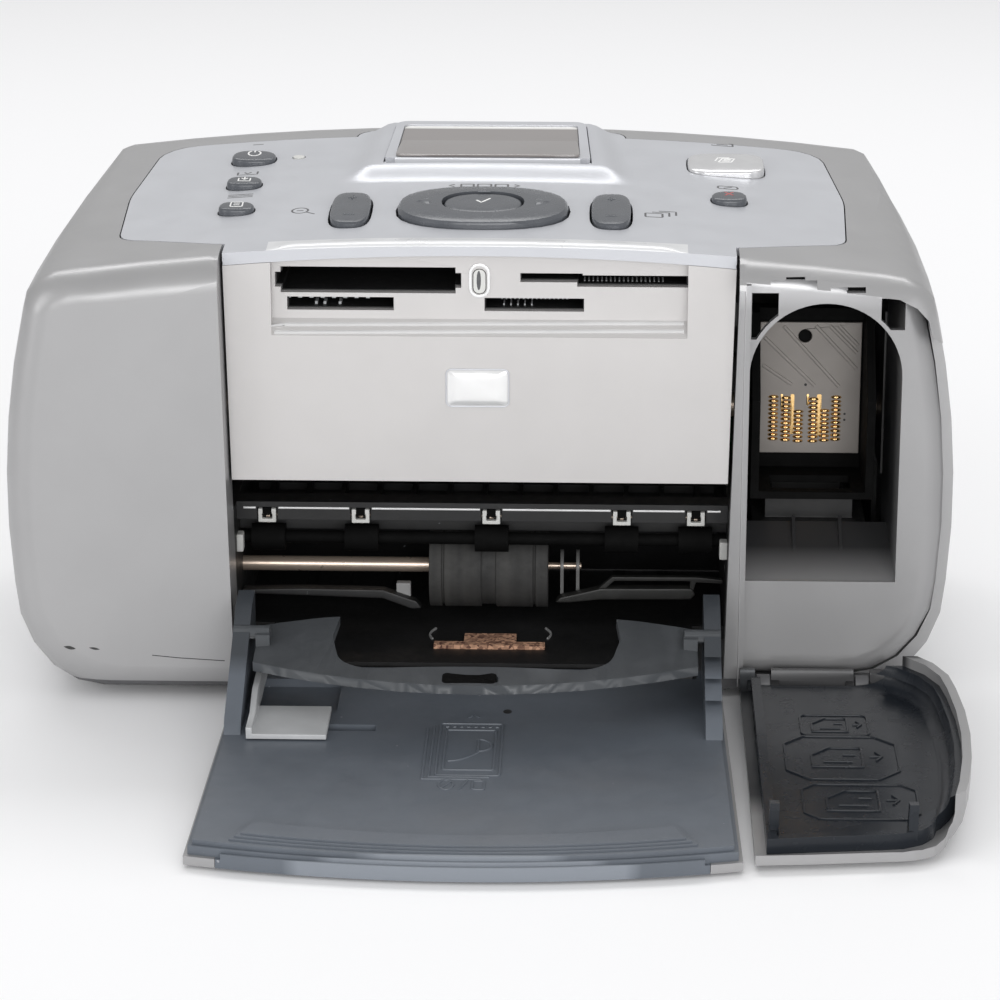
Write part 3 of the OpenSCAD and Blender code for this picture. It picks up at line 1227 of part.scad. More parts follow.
// Rocking key with its pivot bar
module rocker(k) {
  key_cap(k, 3.2, 0.8);
  on_top(k[0], k[1]) x_rod(pivot_r, -k[2] + 0.3, k[2] - 0.3, 0, -2.6);
}
module zoom_rocker() color("#3d4145") placed() rocker(k_zoom);
module copies_rocker() color("#3d4145") placed() rocker(k_copies);

base_pan();
feet();
screws();
housing();
rear_cover();
battery_cover();
control_panel();
front_panel();
card_reader();
bay_bezel();
keypad_board();
paper_channel();
cork_pad();
shaft_bracket();
star_wheel_bar();
star_wheel_clips();
star_wheels();
output_roller();
platen();
feed_roller();
pick_shaft();
pick_drum();
chassis();
guide_rod();
encoder_strip();
drive_belt();
drive_pulley();
idler_pulley();
carriage_motor();
drive_gearbox();
service_station();
main_board();
power_jack();
usb_port();
indicator_lamps();
tray_skin();
tray_deck();
output_shelf();
width_guide();
bay_door_skin();
bay_door_liner();
display_frame();
display_glass();
carriage();
contact_plate();
power_button();
save_button();
menu_button();
print_button();
cancel_button();
ok_button();
four_way_pad();
zoom_rocker();
copies_rocker();
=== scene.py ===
# %% [markdown]
# # A compact photo printer, opened for use
#
# The printer stands open: the paper tray and the cartridge door are folded down, the output
# shelf is out and the display lies flat. The solid model gives every piece its place and its
# motion, in one frame: +X is the printer's right as seen from the front, +Y is its back and
# +Z is up. This lesson dresses that frame. Lengths are written in millimetres, as on the
# drawing, and become metres only when a mesh is made.

# %% Load the solid model as a fixed frame
import json
import math

import bmesh
import bpy
import numpy as np
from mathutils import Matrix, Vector
from mathutils.bvhtree import BVHTree


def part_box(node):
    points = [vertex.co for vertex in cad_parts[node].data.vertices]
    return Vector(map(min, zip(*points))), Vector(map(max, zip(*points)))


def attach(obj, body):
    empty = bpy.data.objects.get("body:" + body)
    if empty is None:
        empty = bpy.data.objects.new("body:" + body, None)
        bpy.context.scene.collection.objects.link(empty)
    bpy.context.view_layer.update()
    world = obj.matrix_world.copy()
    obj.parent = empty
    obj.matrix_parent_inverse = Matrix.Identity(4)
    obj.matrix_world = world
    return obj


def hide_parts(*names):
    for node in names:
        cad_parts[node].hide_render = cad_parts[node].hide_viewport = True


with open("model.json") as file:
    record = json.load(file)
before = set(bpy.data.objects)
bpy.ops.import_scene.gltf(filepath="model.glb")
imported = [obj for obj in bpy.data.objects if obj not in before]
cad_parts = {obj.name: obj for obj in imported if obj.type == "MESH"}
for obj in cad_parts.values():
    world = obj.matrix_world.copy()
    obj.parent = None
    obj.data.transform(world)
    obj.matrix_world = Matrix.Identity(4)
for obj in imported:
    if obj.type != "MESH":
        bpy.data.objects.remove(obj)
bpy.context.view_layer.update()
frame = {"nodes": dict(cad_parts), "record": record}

RECORD = frame["record"]
BODY_OF = {node: body for body, nodes in RECORD["behaviour"]["bodies"].items() for node in nodes}
SLOT_OF = {part["node"]: part["material_slot"] for part in RECORD["subparts"]}
MM = 0.001

# %% [markdown]
# ## One zero for the drawing
#
# The frame's zero is the middle of the whole printer with its tray out. The drawing's zero is
# the middle of the closed body, 57.5 mm in front of the rear cover. Every place below is on the
# drawing, and this one shift carries it into the frame.

# %% The drawing's zero
BODY_HALF_DEPTH = 57.5
DRAWING_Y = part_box("rear_cover")[1][1] / MM - BODY_HALF_DEPTH


def span(node):
    """Lowest and highest corner of a solid, in millimetres on the drawing."""
    low, high = (np.array(corner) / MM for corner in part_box(node))
    return low - (0, DRAWING_Y, 0), high - (0, DRAWING_Y, 0)


def middle(node):
    """Middle of a solid, in millimetres on the drawing."""
    return sum(span(node)) / 2


print("drawing zero lies at y =", round(DRAWING_Y, 2), "mm in the frame")

# %% [markdown]
# ## Camera and light
#
# The camera looks slightly down at the front, from far enough away that the sides hardly
# converge, as a product photograph does. The light is a white tent: a bright world and four
# soft lamps. The long one above and a little behind is the one that the rounded edges and
# the ramp of the display mirror as a white line. A wide one in front lights the upright faces
# and reaches into the mouth, and a weaker one on each side models the ends.

# %% Camera
TARGET = Vector((5.0, -57.0 + DRAWING_Y, 50.4)) * MM
AZIMUTH, ELEVATION, DISTANCE = math.radians(1.7), math.radians(18.0), 820 * MM
LENS, SENSOR_WIDTH = 128.3, 36.0
away = Vector((math.sin(AZIMUTH) * math.cos(ELEVATION), -math.cos(AZIMUTH) * math.cos(ELEVATION),
               math.sin(ELEVATION)))
camera = bpy.data.objects.new("camera", bpy.data.cameras.new("camera"))
bpy.context.scene.collection.objects.link(camera)
camera.location = TARGET + away * DISTANCE
camera.rotation_euler = (-away).to_track_quat("-Z", "Y").to_euler()
camera.data.lens, camera.data.sensor_width = LENS, SENSOR_WIDTH
camera.data.clip_start, camera.data.clip_end = 0.01, 50.0
bpy.context.scene.camera = camera
print("camera at", [round(c, 4) for c in camera.location])

# %% Lamps, world and floor
TENT_STRENGTH = 0.56
FLOOR_HALF, FLOOR_COLOUR, FLOOR_ROUGHNESS = 6, (0.92, 0.92, 0.93, 1), 0.6


def soft_lamp(name, place, aim, width, depth, power):
    """A flat lamp, width by depth in metres, at a place in metres, facing aim."""
    lamp = bpy.data.objects.new(name, bpy.data.lights.new(name, "AREA"))
    lamp.data.shape = "RECTANGLE"
    lamp.data.size, lamp.data.size_y = width, depth
    lamp.data.energy = power
    lamp.location = place
    lamp.rotation_euler = (Vector(place) - Vector(aim)).to_track_quat("Z", "Y").to_euler()
    bpy.context.scene.collection.objects.link(lamp)
    return lamp


soft_lamp("lamp_top", (0.0, 0.72, 1.05), (0, 0, 0.1), 1.6, 0.40, 7.5)
soft_lamp("lamp_front", (0.25, -1.75, 0.50), (0, 0, 0.06), 1.6, 0.6, 17.0)
soft_lamp("lamp_left", (-1.1, -0.7, 0.5), (0, 0, 0.05), 0.6, 0.9, 3.4)
soft_lamp("lamp_right", (1.1, -0.6, 0.5), (0, 0, 0.05), 0.6, 0.9, 1.6)
world = bpy.data.worlds.new("tent")
world.use_nodes = True
backdrop = world.node_tree.nodes["Background"]
backdrop.inputs["Color"].default_value = (1, 1, 1, 1)
backdrop.inputs["Strength"].default_value = TENT_STRENGTH
bpy.context.scene.world = world
bpy.context.scene.view_settings.view_transform = "Standard"

floor = bpy.data.objects.new("floor", bpy.data.meshes.new("floor"))
floor_corners = [(x * FLOOR_HALF, y * FLOOR_HALF, 0) for x, y in ((-1, -1), (1, -1), (1, 1), (-1, 1))]
floor.data.from_pydata(floor_corners, [], [(0, 1, 2, 3)])
bpy.context.scene.collection.objects.link(floor)
floor_paint = bpy.data.materials.new("floor_paint")
floor_paint.use_nodes = True
floor_shader = floor_paint.node_tree.nodes["Principled BSDF"]
floor_shader.inputs["Base Color"].default_value = FLOOR_COLOUR
floor_shader.inputs["Roughness"].default_value = FLOOR_ROUGHNESS
floor.data.materials.append(floor_paint)
print("four lamps in a white tent, and a floor")

# %% [markdown]
# ## Finishes
#
# Nearly all of the printer is moulded plastic, and what tells one plastic from another is its
# texture: paint has a fine sparkle, tool steel leaves a grain, rubber is blotchy. One function
# builds such a finish from three noises on Object coordinates, in metres: a wide one that
# mottles the colour, a middle one that varies the gloss, and a fine one that roughens the
# surface. Special finishes add their own nodes to it.

# %% Small helpers for node trees
def object_place(tree):
    """The one Texture Coordinate node of a tree, read as Object coordinates."""
    found = [n for n in tree.nodes if n.type == "TEX_COORD"]
    return (found[0] if found else tree.nodes.new("ShaderNodeTexCoord")).outputs["Object"]


def noise(tree, size_mm, detail=2.0, stretch=None):
    """Noise with features of about size_mm, stretched along the axes if asked."""
    coords = object_place(tree)
    node = tree.nodes.new("ShaderNodeTexNoise")
    node.inputs["Scale"].default_value = 1.0 / (size_mm * MM)
    node.inputs["Detail"].default_value = detail
    if stretch:
        mapping = tree.nodes.new("ShaderNodeMapping")
        mapping.inputs["Scale"].default_value = stretch
        tree.links.new(coords, mapping.inputs["Vector"])
        coords = mapping.outputs["Vector"]
    tree.links.new(coords, node.inputs["Vector"])
    return node.outputs["Fac"]


def spread(tree, value, low, high, from_low=0.3, from_high=0.7):
    """A value carried from one range to another, and held inside it."""
    node = tree.nodes.new("ShaderNodeMapRange")
    for name, number in zip(("From Min", "From Max", "To Min", "To Max"), (from_low, from_high, low, high)):
        node.inputs[name].default_value = number
    tree.links.new(value, node.inputs["Value"])
    return node.outputs["Result"]


def blend_colour(tree, factor, first, second):
    """Mix of two colours, each a triple or a socket, by a factor socket."""
    node = tree.nodes.new("ShaderNodeMix")
    node.data_type = "RGBA"
    tree.links.new(factor, node.inputs["Factor"])
    for name, colour in (("A", first), ("B", second)):
        socket = [s for s in node.inputs if s.name == name and s.type == "RGBA"][0]
        if isinstance(colour, tuple):
            socket.default_value = (*colour, 1)
        else:
            tree.links.new(colour, socket)
    return [s for s in node.outputs if s.type == "RGBA"][0]


def repaint(material, factor, colour):
    """Lays a second colour over the finish where the factor socket is 1."""
    tree = material.node_tree
    base = tree.nodes["Principled BSDF"].inputs["Base Color"]
    tree.links.new(blend_colour(tree, factor, base.links[0].from_socket, colour), base)


# %% The finish builder
def finish(name, colour, gloss=0.45, metal=0.0, mottle=0.05, mottle_mm=9.0, grain=0.02, grain_mm=0.35,
           uneven=0.06, coat=0.0, stretch=None):
    """A moulded or painted finish: colour mottled by a wide noise, roughness varied by a middle
    one, and a bump of grain mm deep from a fine one."""
    material = bpy.data.materials.new(name)
    material.use_nodes = True
    tree = material.node_tree
    shader = tree.nodes["Principled BSDF"]
    dark = tuple(c * (1 - mottle) for c in colour)
    light = tuple(min(1.0, c * (1 + mottle)) for c in colour)
    paint = blend_colour(tree, spread(tree, noise(tree, mottle_mm, 3.0, stretch), 0, 1), dark, light)
    tree.links.new(paint, shader.inputs["Base Color"])
    rough = spread(tree, noise(tree, mottle_mm * 0.4, 2.0), gloss - uneven, gloss + uneven)
    tree.links.new(rough, shader.inputs["Roughness"])
    bump = tree.nodes.new("ShaderNodeBump")
    bump.inputs["Strength"].default_value = 1.0
    bump.inputs["Distance"].default_value = grain * MM
    tree.links.new(noise(tree, grain_mm, 2.0, stretch), bump.inputs["Height"])
    tree.links.new(bump.outputs["Normal"], shader.inputs["Normal"])
    shader.inputs["Metallic"].default_value = metal
    shader.inputs["Coat Weight"].default_value = coat
    return material


FINISH = {
    "silver_cover": finish("silver_cover", (0.36, 0.358, 0.362), 0.34, 0.35, 0.02, 18, 0.003, 0.3, 0.03),
    "panel_silver": finish("panel_silver", (0.535, 0.545, 0.575), 0.33, 0.30, 0.015, 20, 0.001, 0.3, 0.03),
    # A lighter copy of the panel's silver for the brow: a painted highlight.
    "brow_painted_highlight": finish("brow_painted_highlight", (0.72, 0.725, 0.735), 0.30, 0.15, 0.015, 20, 0.001, 0.3, 0.03),
    "warm_silver": finish("warm_silver", (0.545, 0.531, 0.525), 0.36, 0.25, 0.02, 16, 0.002, 0.3, 0.03),
    "case_grey": finish("case_grey", (0.10, 0.10, 0.105), 0.5, 0, 0.08, 8, 0.02, 0.4),
    "tray_grey": finish("tray_grey", (0.105, 0.120, 0.142), 0.42, 0, 0.06, 14, 0.004, 0.45),
    "shelf_grey": finish("shelf_grey", (0.068, 0.074, 0.081), 0.44, 0, 0.08, 9, 0.004, 0.45),
    "liner_grey": finish("liner_grey", (0.016, 0.019, 0.024), 0.26, 0, 0.05, 12, 0.0, 0.45, 0.03),
    "guide_grey": finish("guide_grey", (0.48, 0.49, 0.50), 0.42, 0, 0.05, 7, 0.01, 0.4),
    "key_grey": finish("key_grey", (0.085, 0.091, 0.103), 0.26, 0, 0.06, 5, 0.002, 0.3, 0.03),
    "key_silver": finish("key_silver", (0.66, 0.66, 0.67), 0.22, 0.5, 0.03, 6, 0.003, 0.3, 0.03),
    "black_plastic": finish("black_plastic", (0.012, 0.012, 0.0125), 0.5, 0, 0.15, 7, 0.012, 0.4),
    # Black that also serves as painted shade in the mouth, the clips, the pockets and the notch.
    "black_and_painted_shade": finish("black_and_painted_shade", (0.0035, 0.0035, 0.0035), 0.75, 0, 0.2, 5, 0.0, 0.4),
    "bracket_grey": finish("bracket_grey", (0.13, 0.13, 0.128), 0.4, 0, 0.10, 5, 0.004, 0.4),
    "arm_grey": finish("arm_grey", (0.022, 0.022, 0.021), 0.4, 0, 0.15, 5, 0.004, 0.4),
    "clip_white": finish("clip_white", (0.62, 0.62, 0.60), 0.40, 0, 0.04, 4, 0.006, 0.3),
    "rubber": finish("rubber", (0.022, 0.022, 0.022), 0.75, 0, 0.3, 4, 0.03, 0.5),
    "steel": finish("steel", (0.62, 0.51, 0.42), 0.30, 0.7, 0.03, 5, 0.0, 0.3, 0.03),
    "sheet_steel": finish("sheet_steel", (0.42, 0.43, 0.43), 0.36, 0.8, 0.08, 12, 0.002, 0.4),
    "dark_steel": finish("dark_steel", (0.05, 0.05, 0.05), 0.45, 0.3, 0.10, 12, 0.003, 0.4),
    "pulley_grey": finish("pulley_grey", (0.28, 0.28, 0.28), 0.5, 0, 0.06, 5, 0.01, 0.3),
    "film": finish("film", (0.08, 0.08, 0.08), 0.15, 0, 0.05, 5, 0.001, 0.5),
    "board_green": finish("board_green", (0.012, 0.085, 0.035), 0.28, 0, 0.15, 3, 0.02, 0.8, coat=0.4),
    "glass": finish("glass", (0.235, 0.215, 0.208), 0.10, 0, 0.03, 20, 0.0, 1.0, 0.02, 0.5),
    "contact_film": finish("contact_film", (0.265, 0.243, 0.225), 0.40, 0.1, 0.05, 9, 0.004, 0.5),
    "gold": finish("gold", (0.83, 0.55, 0.24), 0.22, 1.0, 0.15, 1.5, 0.004, 0.3),
    "ink_grey": finish("ink_grey", (0.085, 0.085, 0.09), 0.5, 0, 0.10, 1.0, 0.001, 0.3),
    "ink_white": finish("ink_white", (0.85, 0.85, 0.84), 0.45, 0, 0.04, 1.0, 0.002, 0.3),
    "ink_red": finish("ink_red", (0.42, 0.06, 0.06), 0.45, 0, 0.10, 1.0, 0.002, 0.3),
    # White of the bare plate and the lamp's rim, and painted highlight on the ledge and the bar's steel edge.
    "white_and_painted_highlight": finish("white_and_painted_highlight", (0.80, 0.80, 0.80), 0.20, 0.35, 0.03, 6, 0.002, 0.3),
    "scuff_dark": finish("scuff_dark", (0.035, 0.035, 0.035), 0.7, 0, 0.30, 1.2, 0.01, 0.3),
}
MIRRORS_LESS = {"black_and_painted_shade": 0.08, "liner_grey": 0.25, "arm_grey": 0.3}
for name, level in MIRRORS_LESS.items():
    FINISH[name].node_tree.nodes["Principled BSDF"].inputs["Specular IOR Level"].default_value = level
print(len(FINISH), "finishes")

# %% [markdown]
# ### Cork, dust and painted shade inside the openings
#
# Some finishes get more. Pressed cork is crumbs of light and dark brown: a Voronoi texture gives
# one random colour to each crumb. The dark plastics show dust and the smudges of hands, which
# are two more noises. Inside the openings the silver finishes are darkened by a ramp along Y,
# which is painted shade: deep in the cartridge bay, and at the hinge ends of both doors, under
# the front of the body. Nothing needs to be cut or unwrapped.

# %% Cork
CRUMB_MM = 0.75
cork = finish("cork", (0.30, 0.17, 0.10), 0.85, 0, 0.2, 2, 0.12, 0.5)
cork_tree = cork.node_tree
crumbs = cork_tree.nodes.new("ShaderNodeTexVoronoi")
crumbs.inputs["Scale"].default_value = 1 / (CRUMB_MM * MM)
cork_tree.links.new(object_place(cork_tree), crumbs.inputs["Vector"])
split = cork_tree.nodes.new("ShaderNodeSeparateColor")
cork_tree.links.new(crumbs.outputs["Color"], split.inputs["Color"])
crumb_colour = blend_colour(cork_tree, split.outputs["Red"], (0.10, 0.04, 0.03), (0.72, 0.42, 0.27))
cork_tree.links.new(crumb_colour, cork_tree.nodes["Principled BSDF"].inputs["Base Color"])
FINISH["cork"] = cork
print("cork with crumbs of", CRUMB_MM, "mm")

# %% Dust and smudges on the dark plastics
SMUDGE_MM, DUST_MM = 26, 1.6
SMUDGES = {"tray_grey": (0.115, 0.122, 0.135), "black_plastic": (0.03, 0.03, 0.032)}
DUST = (0.35, 0.36, 0.38)
for name, smudge in SMUDGES.items():
    tree = FINISH[name].node_tree
    repaint(FINISH[name], spread(tree, noise(tree, SMUDGE_MM, 4.0), 0, 0.45, 0.52, 0.75), smudge)
    repaint(FINISH[name], spread(tree, noise(tree, DUST_MM, 1.0), 0, 0.8, 0.80, 0.84), DUST)
print("dust on", ", ".join(SMUDGES))

# %% Painted shade inside the openings
SHADE_FADE, DOOR_SKIN_TOP = 0.6, 3.4
BAY_SHADE_SPAN, DOOR_SHADE_SPAN = (-49.5, -37.0), (-60.5, -59.0)


def ramp(tree, axis, start, stop, low=0, high=1):
    """A factor that goes from low to high while one Object coordinate goes from start to stop,
    both in millimetres in the frame, and that is held outside them."""
    node = tree.nodes.new("ShaderNodeSeparateXYZ")
    tree.links.new(object_place(tree), node.inputs["Vector"])
    return spread(tree, node.outputs[axis], low, high, start * MM, stop * MM)


def both(tree, first, second):
    """Product of two factors: 1 only where both are 1."""
    node = tree.nodes.new("ShaderNodeMath")
    node.operation = "MULTIPLY"
    tree.links.new(first, node.inputs[0])
    tree.links.new(second, node.inputs[1])
    return node.outputs["Value"]


def second_coat(name, axis, start, stop, colour, low=0, high=1):
    """Repaints a finish along one ramp, which goes from low to high."""
    repaint(FINISH[name], ramp(FINISH[name].node_tree, axis, start, stop, low, high), colour)


def paint_shade_inward(name, from_y, to_y, above_z=None, colour=(0.045, 0.045, 0.047)):
    """Paints shade over a finish as Y goes from one place on the drawing to another, and where
    above_z is given, only above that height."""
    tree = FINISH[name].node_tree
    factor = ramp(tree, "Y", from_y + DRAWING_Y, to_y + DRAWING_Y)
    if above_z is not None:
        factor = both(tree, factor, ramp(tree, "Z", above_z, above_z + SHADE_FADE))
    repaint(FINISH[name], factor, colour)


for name in ("bay_silver", "door_silver", "bay_door_silver"):
    FINISH[name] = finish(name, (0.335, 0.333, 0.337), 0.34, 0.35, 0.02, 18, 0.003, 0.3, 0.03)
# Painted shade deep in the cartridge bay: the silver darkens toward the back.
paint_shade_inward("bay_silver", *BAY_SHADE_SPAN)
# Painted shade on both doors at their hinge ends, under the front of the body.
for name in ("door_silver", "bay_door_silver"):
    paint_shade_inward(name, *DOOR_SHADE_SPAN, above_z=DOOR_SKIN_TOP)
# Painted shade is laid inside the bay and on both doors.
print("three paints end inside the openings")

# %% [markdown]
# ### Tones that change along a piece
#
# Some pieces change their tone from one place to another, and the same ramps do it. The band
# over the cartridge bay is painted lighter than the rest of the bay's face, a painted highlight
# against the shade under the cover's overhang. The cartridge door's left rim is bare, because the
# liner reaches over it: three ramps, along X, Z and Y, are multiplied, so that only the place that
# lies in all of them goes dark. The tray's arms are darker than its deck, and its front lip is
# lighter. The drum's rubber is polished in bands by the paper that it has moved, and a noise that
# is stretched round the drum gives the bands.

# %% Tones that change along a piece
PAINTED_LIGHT_Z0, PAINTED_LIGHT_Z1 = 94, 100
# Painted highlight: the band over the bay is painted lighter.
second_coat("bay_silver", "Z", PAINTED_LIGHT_Z0, PAINTED_LIGHT_Z1, (0.56, 0.56, 0.57))

RIM_WIDTH, RIM_FRONT, RIM_Z, RIM_FADE = 6.4, 2.2, 3.2, 0.2
door_low = span("bay_door_skin")[0] + (0, DRAWING_Y, 0)
rim_x, rim_y = door_low[0] + RIM_WIDTH, door_low[1] + RIM_FRONT
tree = FINISH["bay_door_silver"].node_tree
bare_rim = ramp(tree, "X", rim_x, rim_x + RIM_FADE, 1, 0)
for axis, start in (("Z", RIM_Z), ("Y", rim_y)):
    bare_rim = both(tree, bare_rim, ramp(tree, axis, start, start + RIM_FADE))
repaint(FINISH["bay_door_silver"], bare_rim, (0.022, 0.025, 0.029))

ARM_Z0, ARM_Z1, LIP_DEPTH, LIP_FADE = 16, 19, 2.4, 0.5
second_coat("tray_grey", "Z", ARM_Z0, ARM_Z1, (0.042, 0.048, 0.056))
lip_y = span("tray_deck")[0][1] + LIP_DEPTH + DRAWING_Y
second_coat("tray_grey", "Y", lip_y, lip_y + LIP_FADE, (0.20, 0.22, 0.25), 1, 0)

DRUM_BAND_MM, ROUND_THE_DRUM = 3.5, (1, 0.02, 0.02)
tree = FINISH["rubber"].node_tree
drum_bands = spread(tree, noise(tree, DRUM_BAND_MM, 2.0, ROUND_THE_DRUM), 0, 1, 0.35, 0.7)
repaint(FINISH["rubber"], drum_bands, (0.045, 0.044, 0.042))
print("tones of the bay, the door's rim, the tray and the drum")

# %% [markdown]
# ## Working on meshes
#
# Three small tools do most of the making. `piece` turns points and faces into an object.
# `soften` joins what the cutting left in crumbs, rounds the sharp edges a little, because no
# moulding has a knife edge, and sets where the shading breaks. `dress` does that for a copy of a
# solid of the frame, and hides the solid, which is kept.
# Two solids get a small change of form first, and the panel's front edge gets a wider roll.

# %% Mesh tools
SOLID_SHARP, MARK_SHARP = 38, 50


def piece(name, points, faces):
    """Object from an (N, 3) array of points in millimetres on the drawing and a list of faces."""
    mesh = bpy.data.meshes.new(name)
    placed = (np.asarray(points, float) + (0, DRAWING_Y, 0)) * MM
    mesh.from_pydata(placed.tolist(), [], [list(map(int, f)) for f in faces])
    mesh.update()
    made = bpy.data.objects.new(name, mesh)
    bpy.context.scene.collection.objects.link(made)
    return made


def settle(made):
    """Replaces the object's mesh by what its modifiers make of it."""
    graph = bpy.context.evaluated_depsgraph_get()
    graph.update()
    mesh = bpy.data.meshes.new_from_object(made.evaluated_get(graph))
    old = made.data
    made.modifiers.clear()
    made.data = mesh
    mesh.name = made.name
    bpy.data.meshes.remove(old)
    return made


def shade(made, sharp):
    """Smooth shading that breaks at edges sharper than sharp degrees."""
    made.data.polygons.foreach_set("use_smooth", np.ones(len(made.data.polygons), bool))
    made.data.set_sharp_from_angle(angle=math.radians(sharp))


def soften(made, width=0.25, segments=2, angle=32.0, crumb=0.02, flat=0.02, favour=90):
    """Merges points closer than crumb, joins faces that lie within flat degrees of one plane,
    rounds edges sharper than angle by width, all in millimetres and degrees, and shades the
    rest smooth. Large faces keep their own normal, the more so the higher favour is, so that
    they look flat."""
    work = bmesh.new()
    work.from_mesh(made.data)
    bmesh.ops.remove_doubles(work, verts=work.verts, dist=crumb * MM)
    bmesh.ops.dissolve_degenerate(work, edges=work.edges, dist=crumb * MM)
    if flat:
        bmesh.ops.dissolve_limit(work, angle_limit=math.radians(flat), verts=work.verts, edges=work.edges)
    work.to_mesh(made.data)
    work.free()
    if width:
        bevel = made.modifiers.new("edge", "BEVEL")
        bevel.width, bevel.segments = width * MM, segments
        bevel.limit_method, bevel.angle_limit = "ANGLE", math.radians(angle)
        bevel.use_clamp_overlap = True
        bevel.miter_outer = "MITER_ARC"
        settle(made)
    shade(made, SOLID_SHARP)
    if width and favour:
        normals = made.modifiers.new("level", "WEIGHTED_NORMAL")
        normals.keep_sharp, normals.mode, normals.weight = True, "FACE_AREA", favour
        settle(made)
    return made


def roll_edges(made, width, segments, chosen):
    """Rolls only the edges that chosen(edge) picks, by width millimetres."""
    work = bmesh.new()
    work.from_mesh(made.data)
    work.normal_update()
    picked = [edge for edge in work.edges if len(edge.link_faces) == 2 and chosen(edge)]
    bmesh.ops.bevel(work, geom=picked, offset=width * MM, segments=segments, affect="EDGES",
                    profile=0.5, clamp_overlap=True)
    work.to_mesh(made.data)
    work.free()
    return len(picked)


def wear_finish(made, finish_name, body):
    """Gives the piece one finish and lets it ride on its body."""
    made.data.materials.clear()
    made.data.materials.append(FINISH[finish_name])
    made.data.polygons.foreach_set("material_index", np.zeros(len(made.data.polygons), np.int32))
    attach(made, body)
    return made


# %% Small changes of form before dressing
ARM_TOP = 16.4
FACE_FROM, FACE_OVER, FACE_GROWTH = 102, 5, 0.55
BROW_ROLL = 2.2


def front_brow(edge):
    """True for an edge where a front face meets a top face, by the parts of their normals."""
    straight, turned_away = 0.9, 0.3
    ups = sorted(face.normal.z for face in edge.link_faces)
    fronts = sorted(-face.normal.y for face in edge.link_faces)
    return ups[1] > straight and fronts[1] > straight and ups[0] < turned_away


def moved_points(mesh, change):
    """Moves all points of a mesh by one function of the (N, 3) array in metres."""
    points = np.empty(len(mesh.vertices) * 3)
    mesh.vertices.foreach_get("co", points)
    mesh.vertices.foreach_set("co", change(points.reshape(-1, 3)).ravel())
    mesh.update()


def end_on_arm(mesh):
    """The bracket's blades end on the paper arm: z becomes max(z, ARM_TOP)."""
    moved_points(mesh, lambda p: np.column_stack([p[:, :2], p[:, 2].clip(ARM_TOP * MM)]))


def meet_cover(mesh):
    """The bay's face reaches the cover: x grows by FACE_GROWTH times (x - FACE_FROM) / FACE_OVER,
    which is held between 0 and 1."""
    def change(p):
        grow = ((p[:, 0] / MM - FACE_FROM) / FACE_OVER).clip(0, 1) * FACE_GROWTH * MM
        return p + grow[:, None] * (1, 0, 0)
    moved_points(mesh, change)


ROLLED = {"control_panel": (BROW_ROLL, 6, front_brow)}
RESHAPED = {"shaft_bracket": end_on_arm, "bay_bezel": meet_cover}
print("changes of form for", ", ".join(list(ROLLED) + list(RESHAPED)))

# %% Dress every piece that keeps its solid's shape
EDGE_OF = {"display_glass": 0.12, "encoder_strip": 0, "star_wheels": 0, "card_reader": 0.05,
           "front_panel": 0.35, "bay_bezel": 0.35, "housing": 0.3, "pick_shaft": 0.1,
           "output_shelf": 0.25}
LOOK_OF = {"display_frame": "panel_silver", "bay_bezel": "bay_silver", "bay_door_skin": "bay_door_silver",
           "tray_skin": "door_silver", "output_shelf": "shelf_grey", "bay_door_liner": "liner_grey",
           # The output roller deep in the mouth is made near black: painted shade.
           "output_roller": "black_and_painted_shade", "chassis": "dark_steel", "carriage": "black_and_painted_shade",
           "shaft_bracket": "bracket_grey", "service_station": "black_plastic"}
FLAT_OF = {"bay_door_liner": 0.6}
FAVOUR_OF = {"output_shelf": 50}


def dress(node):
    """A copy of a solid piece that stands for the solid: reshaped and rolled where the tables say
    so, merged, with its edges rounded and its finish on."""
    made = bpy.data.objects.new(node + "_dressed", frame["nodes"][node].data.copy())
    bpy.context.scene.collection.objects.link(made)
    if node in RESHAPED:
        RESHAPED[node](made.data)
    if node in ROLLED:
        soften(made, 0)
        print(node, "rolled", roll_edges(made, *ROLLED[node]), "edges")
    soften(made, EDGE_OF.get(node, 0.2), flat=FLAT_OF.get(node, 0.02), favour=FAVOUR_OF.get(node, 90))
    wear_finish(made, LOOK_OF.get(node, SLOT_OF[node]), BODY_OF[node])
    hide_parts(node)
    return made


DRESSED = {node: dress(node) for node in frame["nodes"]}
print("dressed", len(DRESSED), "pieces")

# %% [markdown]
# ## Marks that lie on a surface
#
# Printed symbols, embossed arrows, ribs and scratches all follow the surface that carries them.
# Each is drawn flat first, as a slide projector would have it, and then thrown onto the piece:
# straight down for the tops, straight back for the fronts. Lines become half round beads and
# filled shapes become low cushions, each a closed solid that dips a little into its carrier.

# %% Throwing flat points onto a piece
RAY_START = 300.0
RAYS = {"top": (Vector((0, 0, -1)), lambda p: Vector((p[0], p[1] + DRAWING_Y, RAY_START))),
        "front": (Vector((0, 1, 0)), lambda p: Vector((p[0], -RAY_START, p[1])))}
TREES = {}


def tree_of(carrier):
    """Search tree over the faces of a dressed piece, made once."""
    if carrier.name not in TREES:
        mesh = carrier.data
        TREES[carrier.name] = BVHTree.FromPolygons([v.co[:] for v in mesh.vertices],
                                                   [p.vertices[:] for p in mesh.polygons])
    return TREES[carrier.name]


